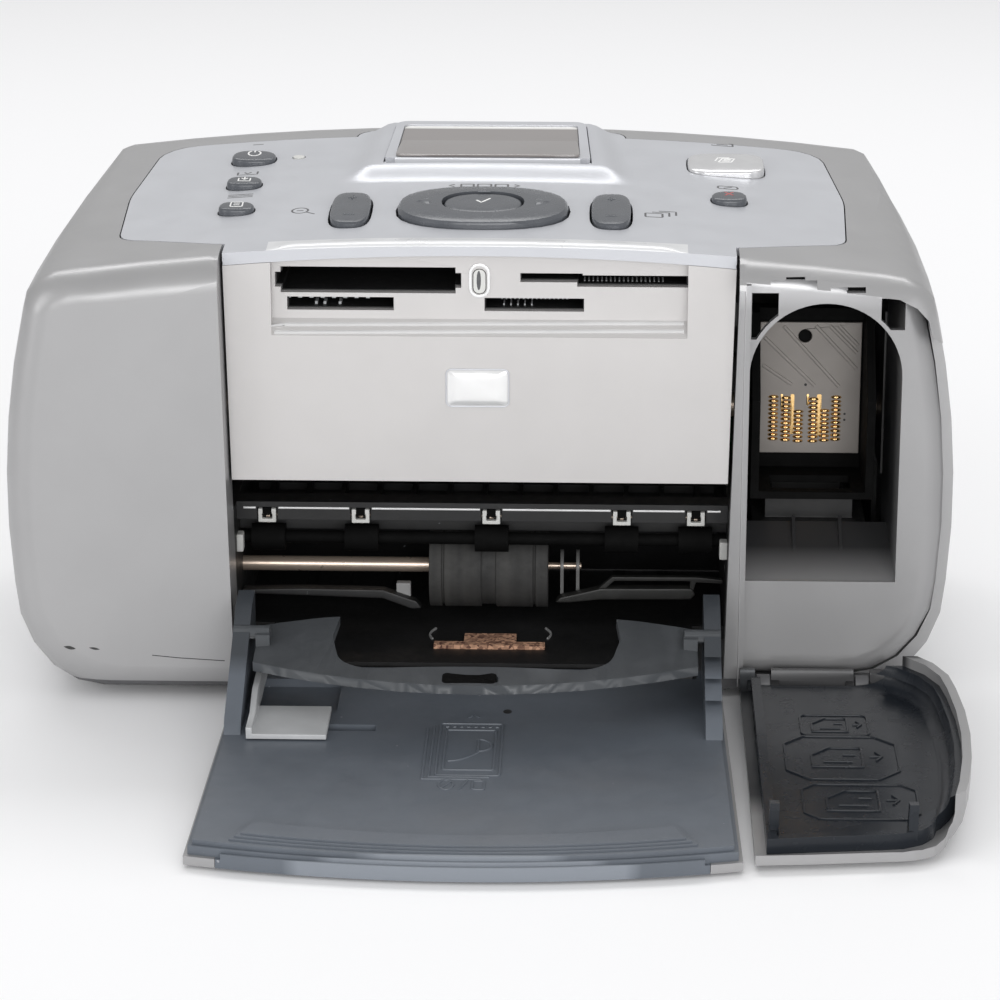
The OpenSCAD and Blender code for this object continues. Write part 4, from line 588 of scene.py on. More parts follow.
def throw(flat, carrier, facing):
    """Points of the carrier, (N, 3) on the drawing, behind flat (N, 2) points: (x, y) for top,
    (x, z) for front. A point that misses takes the middle depth of the others."""
    flat = np.asarray(flat, float)
    ray, start = RAYS[facing]
    hits = [tree_of(carrier).ray_cast(start(p) * MM, ray)[0] for p in flat]
    depth_axis = 2 if facing == "top" else 1
    found = [hit[depth_axis] / MM for hit in hits if hit is not None]
    depth = np.array([hit[depth_axis] / MM if hit is not None else np.median(found) for hit in hits])
    if facing == "top":
        return np.column_stack([flat, depth])
    return np.column_stack([flat[:, 0], depth - DRAWING_Y, flat[:, 1]])


def outward(facing):
    """Direction in which a mark stands up from its carrier."""
    return np.array((0, 0, 1.0) if facing == "top" else (0, -1.0, 0))


# %% Beads along lines
def turn_outwards(made):
    """Recalculates the normals of closed solids so that they point out."""
    work = bmesh.new()
    work.from_mesh(made.data)
    bmesh.ops.recalc_face_normals(work, faces=work.faces)
    work.to_mesh(made.data)
    work.free()
    shade(made, MARK_SHARP)
    return made


def ring_faces(index, capped=True):
    """Quads between neighbouring rings of point numbers, one ring to a row, and where capped is
    set, a cap on the first and on the last ring."""
    quads = np.stack([index[:-1], np.roll(index[:-1], -1, 1), np.roll(index[1:], -1, 1), index[1:]], -1)
    caps = [index[0].tolist(), index[-1][::-1].tolist()] if capped else []
    return quads.reshape(-1, 4).tolist() + caps


def beads(name, paths, width, height, carrier, finish_name, body, slot, facing="top", sink=0.12, steps=5):
    """Half round beads along flat paths. At angle a across a path, from 0 to pi, the bead lies
    cos(a) * width/2 to the side and sqrt(sin(a)) * height above the carrier."""
    angle = np.linspace(0, np.pi, steps)
    side = np.concatenate([np.cos(angle), [-1, 1]])
    lift = np.concatenate([np.sqrt(np.sin(angle).clip(0)) * height, [-sink, -sink]])
    points, faces, base = [], [], 0
    for path in paths:
        path = np.asarray(path, float)
        closed = bool(np.allclose(path[0], path[-1]))
        path = path[:-1] if closed else path
        tangent = (np.roll(path, -1, 0) - np.roll(path, 1, 0)) if closed else np.gradient(path, axis=0)
        tangent /= np.linalg.norm(tangent, axis=1, keepdims=True).clip(1e-9)
        across = np.stack([-tangent[:, 1], tangent[:, 0]], 1)
        spread_out = path[:, None] + across[:, None] * (side * width / 2)[None, :, None]
        grid = throw(spread_out.reshape(-1, 2), carrier, facing).reshape(len(path), -1, 3)
        grid = grid + lift[None, :, None] * outward(facing)
        count, ring = grid.shape[:2]
        index = base + np.arange(count * ring).reshape(count, ring)
        if closed:
            index = np.vstack([index, index[:1]])
        faces += ring_faces(index, capped=not closed)
        points.append(grid.reshape(-1, 3))
        base += count * ring
    made = turn_outwards(piece(name, np.vstack(points), faces))
    return wear_finish(made, finish_name, body)


def cushions(name, outlines, height, carrier, finish_name, body, slot, facing="top", sink=0.12, rings=4):
    """Low cushions over flat outlines. The ring at share s of the outline, from 1 at the rim to 0
    at the middle, stands height * sqrt(1 - s^4) above the carrier."""
    share = np.linspace(1, 0.02, rings)
    points, faces, base = [], [], 0
    for outline in outlines:
        outline = np.asarray(outline, float)
        centre = outline.mean(0)
        flat = centre + share[:, None, None] * (outline - centre)[None]
        top = throw(flat.reshape(-1, 2), carrier, facing).reshape(rings, -1, 3)
        count = top.shape[1]
        lift = height * np.sqrt((1 - share ** 4).clip(0))
        grid = np.concatenate([top[:1] - sink * outward(facing), top + lift[:, None, None] * outward(facing)])
        index = base + np.arange((rings + 1) * count).reshape(rings + 1, count)
        faces += ring_faces(index)
        points.append(grid.reshape(-1, 3))
        base += (rings + 1) * count
    made = turn_outwards(piece(name, np.vstack(points), faces))
    return wear_finish(made, finish_name, body)


# %% Flat drawing tools
def arc(x, y, rx, ry, start=0.0, stop=360.0, count=24):
    """Points of an ellipse from one angle to another, in degrees."""
    t = np.radians(np.linspace(start, stop, count))
    return np.stack([x + rx * np.cos(t), y + ry * np.sin(t)], 1)


def line(*corners, step=0.8):
    """Points along a broken line, no further apart than step."""
    corners = np.asarray(corners, float)
    out = [corners[:1]]
    for a, b in zip(corners[:-1], corners[1:]):
        count = max(1, int(np.ceil(np.linalg.norm(b - a) / step)))
        out.append(a + (b - a) * (np.arange(1, count + 1) / count)[:, None])
    return np.vstack(out)


def frame_line(x0, x1, y0, y1, radius=0.5):
    """Closed rectangle with round corners."""
    corners = [(x0 + radius, y0 + radius, 180), (x1 - radius, y0 + radius, 270),
               (x1 - radius, y1 - radius, 0), (x0 + radius, y1 - radius, 90)]
    ring = np.vstack([arc(x, y, radius, radius, a, a + 90, 5) for x, y, a in corners])
    return np.vstack([ring, ring[:1]])


def moved(paths, x, y, scale_x=1.0, scale_y=1.0):
    """The same paths about another place."""
    return [np.asarray(path, float) * (scale_x, scale_y) + (x, y) for path in paths]


# %% [markdown]
# ## Symbols
#
# The keys carry plain symbols: a ring with a stroke, an arrow into a tray, a list, a sheet, a
# cross and a tick. Beside them the panel carries small grey ones. The panel is seen at a flat
# angle, so the symbols are drawn tall, as signs that are painted on a road are. They could be
# pictures on the surface, but real strokes stay sharp from near by. The pad and the rockers have
# raised signs of their own plastic, so theirs stand higher and take the keys' finish.

# %% Symbols on the keys
PANEL = DRESSED["control_panel"]
TALL = 1.45
KEY_INK = 0.05
SYMBOLS = {
    "power": [arc(0, 0, 1.5, 1.5, 125, 415, 24), line((0, 0.5), (0, 2.2))],
    "save": [line((0, 1.6), (0, -0.4)), line((-0.7, 0.4), (0, -0.4), (0.7, 0.4)),
             line((-1.4, 0.3), (-1.4, -1.2), (1.4, -1.2), (1.4, 0.3))],
    "list": [frame_line(-1.4, 1.4, -1.3, 1.3, 0.3), line((-0.7, 0.5), (0.7, 0.5)),
             line((-0.7, -0.4), (0.7, -0.4))],
    "sheet": [line((-1.8, -1.0), (-0.9, 1.0), (2.2, 1.0), (1.3, -1.0), (-1.8, -1.0)),
              line((-2.6, -0.3), (-1.9, 1.5), (1.0, 1.5)), line((-0.9, -0.3), (1.0, -0.3)),
              line((-0.5, 0.4), (1.3, 0.4))],
    "cross": [line((-1.0, -0.9), (1.0, 0.9)), line((-1.0, 0.9), (1.0, -0.9))],
    "tick": [line((-1.5, 0.1), (-0.4, -1.0), (1.6, 1.1))],
    "plus": [line((-1.0, 0), (1.0, 0)), line((0, -1.0), (0, 1.0))],
    "bar": [line((-1.3, 0), (1.3, 0))],
}
KEY_MARKS = (("power_button", "power", "ink_white", 0.42, 1.2),
             ("save_button", "save", "ink_white", 0.36, 0.6),
             ("menu_button", "list", "ink_white", 0.36, 0.6),
             ("print_button", "sheet", "ink_white", 0.45, 0.6),
             ("cancel_button", "cross", "ink_red", 0.42, 1.0),
             ("ok_button", "tick", "ink_white", 0.55, 1.0))
for node, symbol, ink, stroke, rise in KEY_MARKS:
    centre = middle(node)
    beads(node + "_symbol", moved(SYMBOLS[symbol], centre[0], centre[1] + rise, 1, TALL), stroke, KEY_INK,
          DRESSED[node], ink, BODY_OF[node], SLOT_OF[node])
print("printed", len(KEY_MARKS), "key symbols")

# %% Raised signs on the pad and the rockers
PAD_X, PAD_Y = middle("four_way_pad")[:2]
PAD_ARROW, PAD_UP, PAD_DOWN = 13.8, 8.4, -7.6
ROCKER_REACH = 0.27
key_sign = dict(finish_name="key_grey", slot=SLOT_OF["four_way_pad"])
on_pad = dict(carrier=DRESSED["four_way_pad"], body="four_way_pad", **key_sign)
left_arrow = np.array([(-1.9, 0.0), (1.2, 2.4), (1.5, 2.2), (1.5, -2.2), (1.2, -2.4)])
up_arrow = np.array([(0, 2.0), (-1.6, -1.4), (1.6, -1.4)])
pad_arrows = [left_arrow + (PAD_X - PAD_ARROW, PAD_Y), left_arrow * (-1, 1) + (PAD_X + PAD_ARROW, PAD_Y),
              up_arrow + (PAD_X, PAD_Y + PAD_UP)]
cushions("pad_arrows", pad_arrows, 0.3, **on_pad)
beads("pad_bar", moved([line((-1.9, 0), (1.9, 0))], PAD_X, PAD_Y + PAD_DOWN), 0.8, 0.25, **on_pad)
for node in ("zoom_rocker", "copies_rocker"):
    rocker_low, rocker_high = span(node)
    x, y = middle(node)[:2]
    reach = (rocker_high - rocker_low)[1] * ROCKER_REACH
    on_rocker = dict(carrier=DRESSED[node], body=BODY_OF[node], **key_sign)
    beads(node + "_plus", moved(SYMBOLS["plus"], x, y + reach, 1, TALL), 0.5, 0.22, **on_rocker)
    beads(node + "_minus", moved(SYMBOLS["bar"], x, y - reach), 0.6, 0.22, **on_rocker)
print("raised the signs of the pad and both rockers")

# %% Small grey symbols on the panel
SIGN_STROKE, SIGN_INK, SIGN_TALL = 0.5, 0.03, 1.2
PANEL_SIGNS = {
    "on": (-58.3, 37.4, [line((-1.3, 0), (1.3, 0))]),
    "save": (-58.6, 12.6, [line((-2.4, 0.9), (-2.4, -0.9), (2.4, -0.9), (2.4, 0.9)),
                           line((-0.8, 0.6), (0, -0.3), (0.8, 0.6))]),
    "list": (-58.6, -6.0, [line((-3, 0.9), (3, 0.9)), line((-3, 0), (3, 0)), line((-3, -0.9), (3, -0.9))]),
    "lens": (-42.3, -20.8, [arc(-0.8, 0.3, 1.9, 1.7, 0, 360, 21), line((0.7, -0.8), (2.8, -2.2)),
                            line((-1.6, 0.3), (0, 0.3))]),
    "sheets": (41.4, -22.1, [frame_line(-3.4, 0.6, -1.6, 0.8, 0.3),
                             line((-1.8, 1.6), (2.2, 1.6), (2.2, -0.8)),
                             line((-0.2, 2.4), (3.8, 2.4), (3.8, 0))]),
    "row": (-0.3, -2.6, [frame_line(-1.6, 1.6, -0.9, 0.9, 0.2), frame_line(-5.6, -2.6, -0.9, 0.9, 0.2),
                         frame_line(2.6, 5.6, -0.9, 0.9, 0.2), line((-7.2, 0.8), (-8.4, 0), (-7.2, -0.8)),
                         line((7.2, 0.8), (8.4, 0), (7.2, -0.8))]),
    "page": (57.7, 39.8, [frame_line(-2.6, 2.6, -0.9, 0.9, 0.2), line((-1.4, 0), (1.4, 0))]),
    "stop": (58.0, 3.2, [frame_line(-2.4, 2.4, -0.9, 0.9, 0.8), line((-1.0, -0.5), (1.0, 0.5))]),
}
for name, (x, y, paths) in PANEL_SIGNS.items():
    beads("panel_sign_" + name, moved(paths, x, y, 1, SIGN_TALL), SIGN_STROKE, SIGN_INK, PANEL, "ink_grey",
          "case", "key_grey")
print("printed", len(PANEL_SIGNS), "signs on the panel")

# %% [markdown]
# ## Front: the bare plate, the lamp's rim, the brow and the pins
#
# The plate under the recess is bare, polished and a little domed, and a cushion has just that
# form. The lamp between the slots has a bright rim round a narrow window, which is one closed
# bead.

# %% Plate and lamp rim
FRONT = DRESSED["front_panel"]
on_front = dict(carrier=FRONT, body="case", facing="front")
PLATE_X0, PLATE_X1, PLATE_Z0, PLATE_Z1 = -7.4, 6.6, 70.9, 79.4
RIM_OUT = 0.2
plate = frame_line(PLATE_X0, PLATE_X1, PLATE_Z0, PLATE_Z1, 1.1)[:-1]
plate_rim = frame_line(PLATE_X0 - RIM_OUT, PLATE_X1 + RIM_OUT, PLATE_Z0 - RIM_OUT, PLATE_Z1 + RIM_OUT, 1.2)
cushions("bare_plate", [plate], 0.7, finish_name="white_and_painted_highlight", slot="key_silver", rings=7, **on_front)
beads("plate_rim", [plate_rim], 0.35, 0.3, finish_name="panel_silver", slot="panel_silver", **on_front)
LAMP_Z, LAMP_REACH_X, LAMP_REACH_Z = 99.85, 2.1, 3.7
lamp_rim = frame_line(-LAMP_REACH_X, LAMP_REACH_X, LAMP_Z - LAMP_REACH_Z, LAMP_Z + LAMP_REACH_Z, 2.0)
lamp_window = arc(-0.15, LAMP_Z, 0.5, 2.3, 0, 345, 20)
beads("lamp_rim", [lamp_rim], 0.8, 0.45, finish_name="white_and_painted_highlight", slot="key_silver", **on_front)
cushions("lamp_centre", [lamp_window], 0.05, DRESSED["indicator_lamps"], "ink_grey", "case", "key_grey",
         facing="front", rings=3)
print("plate", PLATE_X1 - PLATE_X0, "mm wide, and the lamp's rim")

# %% [markdown]
# The panel ends in a rolled brow over the recess, and the recess has a stepped ledge below.
# Both catch the light from above, and both are helped by painted highlights: the brow wears a
# lighter silver than the panel, and the ledge's two edges are white beads. The brow is a low
# mound, steep in front and long behind, that follows the panel's front edge. Rays that step back
# from the front find that edge.

# %% Brow and ledge
BROW_X0, BROW_X1, BROW_DEPTH, BROW_HEIGHT = -48.5, 47.5, 6.4, 0.75
BROW_TUCK, BROW_SKIN, BROW_SINK = 0.12, 0.015, 0.3


def front_edge(node, xs, start, step=0.1, count=80, above=100.0):
    """First place along Y, from start backwards, where a ray from over the piece meets it, and
    meets it above a height in millimetres."""
    ys = start + step * np.arange(count)
    search, down = tree_of(DRESSED[node]), Vector((0, 0, -1))
    hits = [[search.ray_cast(Vector((x, y + DRAWING_Y, RAY_START)) * MM, down)[0] for y in ys] for x in xs]
    return np.array([next(y for y, hit in zip(ys, row) if hit is not None and hit[2] > above * MM)
                     for row in hits])


def smooth(t):
    """3 t^2 - 2 t^3, held between 0 and 1."""
    t = np.clip(t, 0, 1)
    return t * t * (3 - 2 * t)


def brow_roll(x0, x1, depth, height, columns=64, rows=15, crest=0.3, ends=16):
    """Mound behind the panel's front edge, whose places along Y it gives back. At share v of its
    depth, from 0 in front to 1 behind, it stands height * sqrt(1 - (1 - v/crest)^2) up to v =
    crest and then height * (1 - smooth((v - crest)/(1 - crest))). Both ends fade out over one
    part in ends of its length."""
    u, v = np.linspace(0, 1, columns), np.linspace(0, 1, rows) ** 1.5
    xs = x0 + (x1 - x0) * u
    edge = front_edge("control_panel", xs, span("control_panel")[0][1] - 1.0)
    flat = np.stack(np.broadcast_arrays(xs[:, None], edge[:, None] + BROW_TUCK + depth * v[None]), -1)
    base = throw(flat.reshape(-1, 2), PANEL, "top").reshape(columns, rows, 3)
    front = np.sqrt((1 - (1 - v / crest).clip(0, 1) ** 2).clip(0))
    rise = np.where(v < crest, front, 1 - smooth((v - crest) / (1 - crest)))
    fade = smooth(u * ends) * smooth((1 - u) * ends)
    top = base + (0, 0, 1) * (height * fade[:, None] * rise[None] + BROW_SKIN)[..., None]
    under = base - (0, 0, BROW_SINK)
    index = np.arange(columns * rows).reshape(columns, rows)
    quads = np.stack([index[:-1, :-1], index[1:, :-1], index[1:, 1:], index[:-1, 1:]], -1).reshape(-1, 4)
    rim = np.concatenate([index[:, 0], index[-1, 1:], index[-2::-1, -1], index[0, -2:0:-1]])
    walls = np.stack([rim, np.roll(rim, -1), np.roll(rim, -1) + index.size, rim + index.size], -1)
    made = turn_outwards(piece("panel_brow", np.vstack([top.reshape(-1, 3), under.reshape(-1, 3)]),
                               quads.tolist() + (quads[:, ::-1] + index.size).tolist() + walls.tolist()))
    # The brow wears a lighter silver than the panel: a painted highlight.
    wear_finish(made, "brow_painted_highlight", "case")
    return edge


brow_y = brow_roll(BROW_X0, BROW_X1, BROW_DEPTH, BROW_HEIGHT)
ledge_highlight_lines = [line((-47.6, 89.4), (46.9, 90.2), step=3), line((-47.0, 87.9), (46.9, 88.7), step=3)]
# Painted highlights: white beads on the ledge's two edges.
beads("recess_ledge_highlight", ledge_highlight_lines, 0.75, 0.25, finish_name="white_and_painted_highlight", slot="warm_silver", **on_front)
print("brow from", brow_y.min().round(1), "to", brow_y.max().round(1))

# %% [markdown]
# Inside the card slots, rows of fine pins wait for a card, and they catch the light as dotted
# lines. A pin is a box of eight points. An Array modifier could repeat it, but one addition of
# two arrays places a whole comb as well.

# %% Pins in the card slots
def pins(name, xs, y0, y1, z, size=0.34, tall=0.4):
    """A comb of thin square pins that run from y0 back to y1 at height z."""
    corner = np.array([(-1, -1), (1, -1), (1, 1), (-1, 1)]) * (size / 2, tall / 2)
    ends = [np.column_stack([corner[:, 0], np.full(4, y), corner[:, 1] + z]) for y in (y0, y1)]
    one = np.vstack(ends)
    points = (one[None] + np.asarray(xs)[:, None, None] * (1, 0, 0)).reshape(-1, 3)
    quads = np.array([[0, 1, 2, 3], [7, 6, 5, 4], [0, 4, 5, 1], [1, 5, 6, 2], [2, 6, 7, 3], [3, 7, 4, 0]])
    faces = (quads[None] + 8 * np.arange(len(xs))[:, None, None]).reshape(-1, 4)
    made = turn_outwards(piece(name, points, faces))
    return wear_finish(made, "guide_grey", "case")


reader_front = span("card_reader")[0][1]
pin_y0, pin_y1 = reader_front + 2.2, reader_front + 6.0
pins("pins_upper_right", np.arange(24.0, 43.0, 1.0), pin_y0, pin_y1, 98.7)
pins("pins_lower_right", np.arange(5.0, 21.0, 1.0), pin_y0 + 1.5, pin_y1, 94.2)
pins("pins_lower_right_front", np.arange(5.5, 13.0, 1.6), pin_y0, pin_y1, 93.1)
pins("pins_lower_left", np.arange(-44.0, -24.0, 2.6), pin_y0 - 1.2, pin_y1, 94.9, 0.9, 0.5)
pins("pins_lower_left_front", (-37.8, -35.8, -32.3), pin_y0, pin_y1, 93.2, 0.6, 0.6)
print("pins stand in three slots, from y =", round(pin_y0, 1), "to", round(pin_y1, 1))

# %% [markdown]
# ## The cradle's contact plate
#
# A sheet of film with gilded dimples presses against the cartridge. Its raised ribs run down to
# the right, and the dimples stand in six columns, two of them shorter. Four narrow strips of
# bare gilding shine between them. A picture would do from far away, but dimples that stand up
# catch the light one by one.

# %% Ribs and gilded dimples
FILM = DRESSED["contact_plate"]
film_mark = dict(carrier=FILM, body="carriage", slot="contact_film", facing="front")
ribs = [line((71.4, 81.0), (84.8, 66.2)), line((79.0, 81.2), (88.9, 70.6)), line((66.9, 78.2), (79.0, 66.4)),
        line((82.3, 81.2), (88.9, 74.6)), line((84.4, 81.3), (89.2, 76.4)), line((66.6, 71.4), (73.6, 66.6))]
beads("film_ribs", ribs, 0.9, 0.30, finish_name="contact_film", **film_mark)
DIMPLE_X = (69.3, 72.3, 75.3, 78.9, 81.6, 84.3)
DIMPLE_Z, DIMPLE_PITCH, DIMPLE_SAG = 52.4, 1.05, 0.25
MIDDLE_COLUMN = (len(DIMPLE_X) - 1) / 2
LONG_COLUMN, SHORT_COLUMN, SHORT_ONES = 11, 8, (2, 4)
dimples = [arc(x, DIMPLE_Z + DIMPLE_PITCH * row + DIMPLE_SAG * abs(column - MIDDLE_COLUMN),
               1.3, 0.5, 0, 330, 10)
           for column, x in enumerate(DIMPLE_X)
           for row in range(SHORT_COLUMN if column in SHORT_ONES else LONG_COLUMN)]
cushions("gilded_dimples", dimples, 0.5, finish_name="gold", rings=3, **film_mark)
STRIPS = ((73.4, 74.3, 54.2, 64.2, 0.3), (79.7, 80.8, 53.8, 64.2, 0.3), (71.0, 71.6, 60.4, 64.2, 0.2),
          (77.2, 77.8, 61.4, 64.2, 0.2))
cushions("gilded_strips", [frame_line(*strip)[:-1] for strip in STRIPS], 0.12, finish_name="gold", rings=3,
         **film_mark)
# Painted shade: black cushions stand for the holes in the film.
SHADED_HOLES = ((76.9, 66.6, 0.35), (86.4, 59.4, 0.3), (86.4, 57.9, 0.3))
cushions("film_hole_shades", [arc(x, z, radius, radius, 0, 330, 10) for x, z, radius in SHADED_HOLES], 0.05,
         finish_name="black_plastic", rings=2, **film_mark)
print(len(dimples), "dimples on the film")

# %% [markdown]
# ## Tray and cartridge door
#
# The tray's deck is embossed with a pile of sheets that shows how paper lies, and with a few
# small signs. The liner of the cartridge door has three framed pictures of a cartridge. Each is
# only a few raised lines, so beads on the dressed solid are enough, and the solid stays plain.

# %% Emboss the deck
DECK = DRESSED["tray_deck"]
on_deck = dict(carrier=DECK, finish_name="tray_grey", body="output_door", slot="tray_grey")
sheet_pile = [frame_line(-7.4, 6.6, -116.4, -87.2, 0.6), frame_line(-5.9, 5.2, -113.4, -90.9, 0.5),
              line((-8.8, -88.6), (-8.8, -117.4), (4.4, -117.4)),
              line((-10.2, -90.0), (-10.2, -118.6), (2.6, -118.6))]
curl = np.column_stack([np.linspace(-5, 1.5, 12), -108.5 + 5 * np.linspace(0, 1, 12) ** 2])
curled_sheet = [curl, line((1.5, -103.5), (1.5, -96.5)), arc(1.2, -99.6, 3.2, 3.4, 90, -90, 12)]
beads("deck_sheets", sheet_pile + curled_sheet, 0.55, 0.28, **on_deck)
DASH, DASH_PITCH, DASH_Y = 0.7, 1.6, -89.1
dashes = [line((x, DASH_Y), (x + DASH, DASH_Y)) for x in np.arange(-6.2, 5.6, DASH_PITCH)]
beads("deck_dashes", dashes, 0.5, 0.2, **on_deck)
deck_signs = [arc(-4.8, -121.6, 1.6, 2.6, 0, 360, 21), line((-5.8, -123.4), (-3.8, -119.8)),
              line((-1.8, -124.0), (-0.2, -119.2)), frame_line(0.9, 3.5, -124.0, -119.4, 0.5),
              line((-1.2, -83.6), (-0.1, -81.6), (1.0, -83.6))]
beads("deck_signs", deck_signs, 0.5, 0.25, **on_deck)
# Painted shade: a black cushion stands for the hole in the deck.
cushions("deck_hole_shade", [arc(7.4, -79.6, 1.0, 1.3, 0, 340, 18)], 0.04, DECK, "black_plastic", "output_door",
         "black_plastic", rings=2)
print("embossed the deck with", len(dashes), "dashes and", len(deck_signs), "signs")

# %% Emboss the liner
LINER = DRESSED["bay_door_liner"]
PICTURE_TALL = 1.7


def cut_frame(x0, x1, y0, y1, cut):
    """Closed rectangle whose corners are cut off straight."""
    return line((x0 + cut, y0), (x1 - cut, y0), (x1, y0 + cut), (x1, y1 - cut), (x1 - cut, y1),
                (x0 + cut, y1), (x0, y1 - cut), (x0, y0 + cut), (x0 + cut, y0), step=1.5)


def cartridge_picture(x, y, size):
    """Side view of a cartridge in a few lines: a box with a nose, a label and an arrow."""
    side_view = [line((-4, -2), (4, -2), (4, 2.4), (-1, 2.4), (-4, 0.6), (-4, -2)),
                 line((-2.2, -0.8), (2.4, -0.8)), line((5.2, 0.4), (7.0, 0.4)),
                 line((6.2, 1.4), (7.2, 0.4), (6.2, -0.6)), line((1.0, 0.8), (3.0, 0.8))]
    return moved(side_view, x, y, size, size * PICTURE_TALL)


picture_frames = [frame_line(73.9, 89.1, -88.2, -76.2, 1.6), cut_frame(69.6, 94.4, -112.6, -88.8, 4.5),
                  cut_frame(72.3, 97.0, -134.0, -115.6, 3.0)]
pictures = (cartridge_picture(80.4, -82.4, 1.0) + cartridge_picture(81.0, -101.0, 1.4)
            + cartridge_picture(83.0, -124.8, 1.4))
beads("liner_pictures", picture_frames + pictures, 0.6, 0.32, LINER, "liner_grey", "cartridge_door",
      "tray_grey")
print("embossed the liner with", len(picture_frames), "pictures")

# %% [markdown]
# ## Inside the mouth
# A folded steel edge runs along the top of the bar over the exit, broken where the clips sit. Its
# bead is white, a painted highlight on the steel. The clips' places are measured on the solid, so
# that the edge and the dark mouths of the clips stay with them. The mouths are deep black boxes,
# painted shade in the clips' openings. White bushes stand on both side walls, and a grey clip sits
# left of the drum. The mouths, the bushes and the clip are small boxes with rolled edges, which
# are cheap and catch the light well.

# %% Steel edge on the bar
BAR = DRESSED["star_wheel_bar"]
CLIP_APART, CLIP_GAP, BAR_EDGE_Z = 6, 2.7, 40.9
clip_points = np.sort([v.co.x / MM for v in DRESSED["star_wheel_clips"].data.vertices])
breaks = np.nonzero(np.diff(clip_points) > CLIP_APART)[0] + 1
CLIPS = [group.mean() for group in np.split(clip_points, breaks)]
bar_low, bar_high = span("star_wheel_bar")
stretches = zip([bar_low[0] - 1] + CLIPS, CLIPS + [bar_high[0] + 1])
bar_edge_highlight = [line((a + CLIP_GAP, BAR_EDGE_Z), (b - CLIP_GAP, BAR_EDGE_Z), step=4) for a, b in stretches]
# Painted highlight: the steel edge's bead is white.
beads("bar_edge_highlight", bar_edge_highlight, 0.55, 0.25, BAR, "white_and_painted_highlight", "case", "sheet_steel", facing="front")
print("clips at x =", np.round(CLIPS, 1))

# %% Clip mouths in painted shade, and white ends
MOUTH_HALF, MOUTH_PROUD, MOUTH_DEPTH, MOUTH_DROP, MOUTH_RISE = 1.1, 0.05, 0.9, 1.6, 0.25


def block(name, low, high, finish_name, body, edge=0.2):
    """Box between two corners, with rolled edges."""
    low, high = np.array(low, float), np.array(high, float)
    unit = np.array([(x, y, z) for z in (0, 1) for y in (0, 1) for x in (0, 1)])
    made = piece(name, low + unit * (high - low),
                 [[0, 2, 3, 1], [4, 5, 7, 6], [0, 1, 5, 4], [2, 6, 7, 3], [0, 4, 6, 2], [1, 3, 7, 5]])
    soften(made, edge, 3, 30)
    return wear_finish(made, finish_name, body)


clip_low, clip_high = span("star_wheel_clips")
# Painted shade: deep black boxes stand in the clips' openings.
for number, x in enumerate(CLIPS):
    block("clip_mouth_shade_%d" % number, (x - MOUTH_HALF, clip_low[1] - MOUTH_PROUD, clip_high[2] - MOUTH_DROP),
          (x + MOUTH_HALF, clip_low[1] + MOUTH_DEPTH, clip_high[2] + MOUTH_RISE), "black_and_painted_shade", "case",
          0.1)
block("left_bush", (-58.4, -36.0, 29.9), (-56.7, -32.5, 34.3), "clip_white", "case", 0.4)
block("right_bush", (56.4, -36.0, 29.0), (58.4, -32.5, 33.4), "clip_white", "case", 0.4)
block("shaft_clip", (-20.9, -27.2, 15.6), (-17.4, -25.0, 19.4), "pulley_grey", "case", 0.3)
print(len(CLIPS), "clip mouths, two bushes and a clip")

# %% [markdown]
# Two arms press on the paper left and right of the drum. The right one is a frame of a thin bar
# over a flat beam, held by the shaft's bracket and by the side wall. Each is an outline in the
# plane of the front, given a thickness from front to back. Solidify on a flat face would do the
# same, but a closed solid from the start needs no modifier.

# %% Paper arms
BEAM_Y0, BEAM_Y1, THIN_BAR_Y0, THIN_BAR_Y1 = -29.5, -26.2, -29.0, -27.2


def plate_solid(name, outline, y0, y1, finish_name, body, edge=0.25):
    """Closed solid from an outline of (x, z) points between two depths."""
    flat = np.asarray(outline, float)
    count = len(flat)
    points = np.vstack([np.column_stack([flat[:, 0], np.full(count, y), flat[:, 1]]) for y in (y0, y1)])
    ring = np.arange(count)
    sides = np.stack([ring, np.roll(ring, -1), np.roll(ring, -1) + count, ring + count], 1).tolist()
    made = turn_outwards(piece(name, points, [ring.tolist(), (ring + count)[::-1].tolist()] + sides))
    soften(made, edge, 2, 30)
    return wear_finish(made, finish_name, body)


RIGHT_BEAM = [(17.3, 15.6), (18.6, 16.9), (24.0, 18.2), (28.4, 19.3), (50.2, 19.5), (51.2, 18.0),
              (50.0, 16.6), (28.2, 16.4), (21.0, 15.6)]
RIGHT_BAR = [(27.6, 19.0), (31.1, 22.1), (51.2, 22.2), (57.6, 21.6), (57.6, 20.6), (51.2, 20.9),
             (50.6, 18.6), (49.6, 18.6), (49.8, 21.2), (31.6, 21.1), (29.4, 19.0)]
LEFT_BEAM = [(-57.8, 17.2), (-57.8, 18.2), (-44.0, 18.6), (-24.0, 18.4), (-16.0, 15.6), (-14.6, 13.8),
             (-17.0, 13.6), (-24.0, 16.2), (-44.0, 16.8)]
plate_solid("right_arm_beam", RIGHT_BEAM, BEAM_Y0, BEAM_Y1, "arm_grey", "case", 0.5)
plate_solid("right_arm_bar", RIGHT_BAR, THIN_BAR_Y0, THIN_BAR_Y1, "arm_grey", "case", 0.25)
plate_solid("left_arm_beam", LEFT_BEAM, BEAM_Y0, BEAM_Y1, "black_plastic", "case", 0.4)
print("three arm pieces")

# %% [markdown]
# Two bent spring wires lie on the floor of the path, left and right of the cork. Each is a bead
# along a stretch of a sine wave, and the left one is the mirror image of the right one.

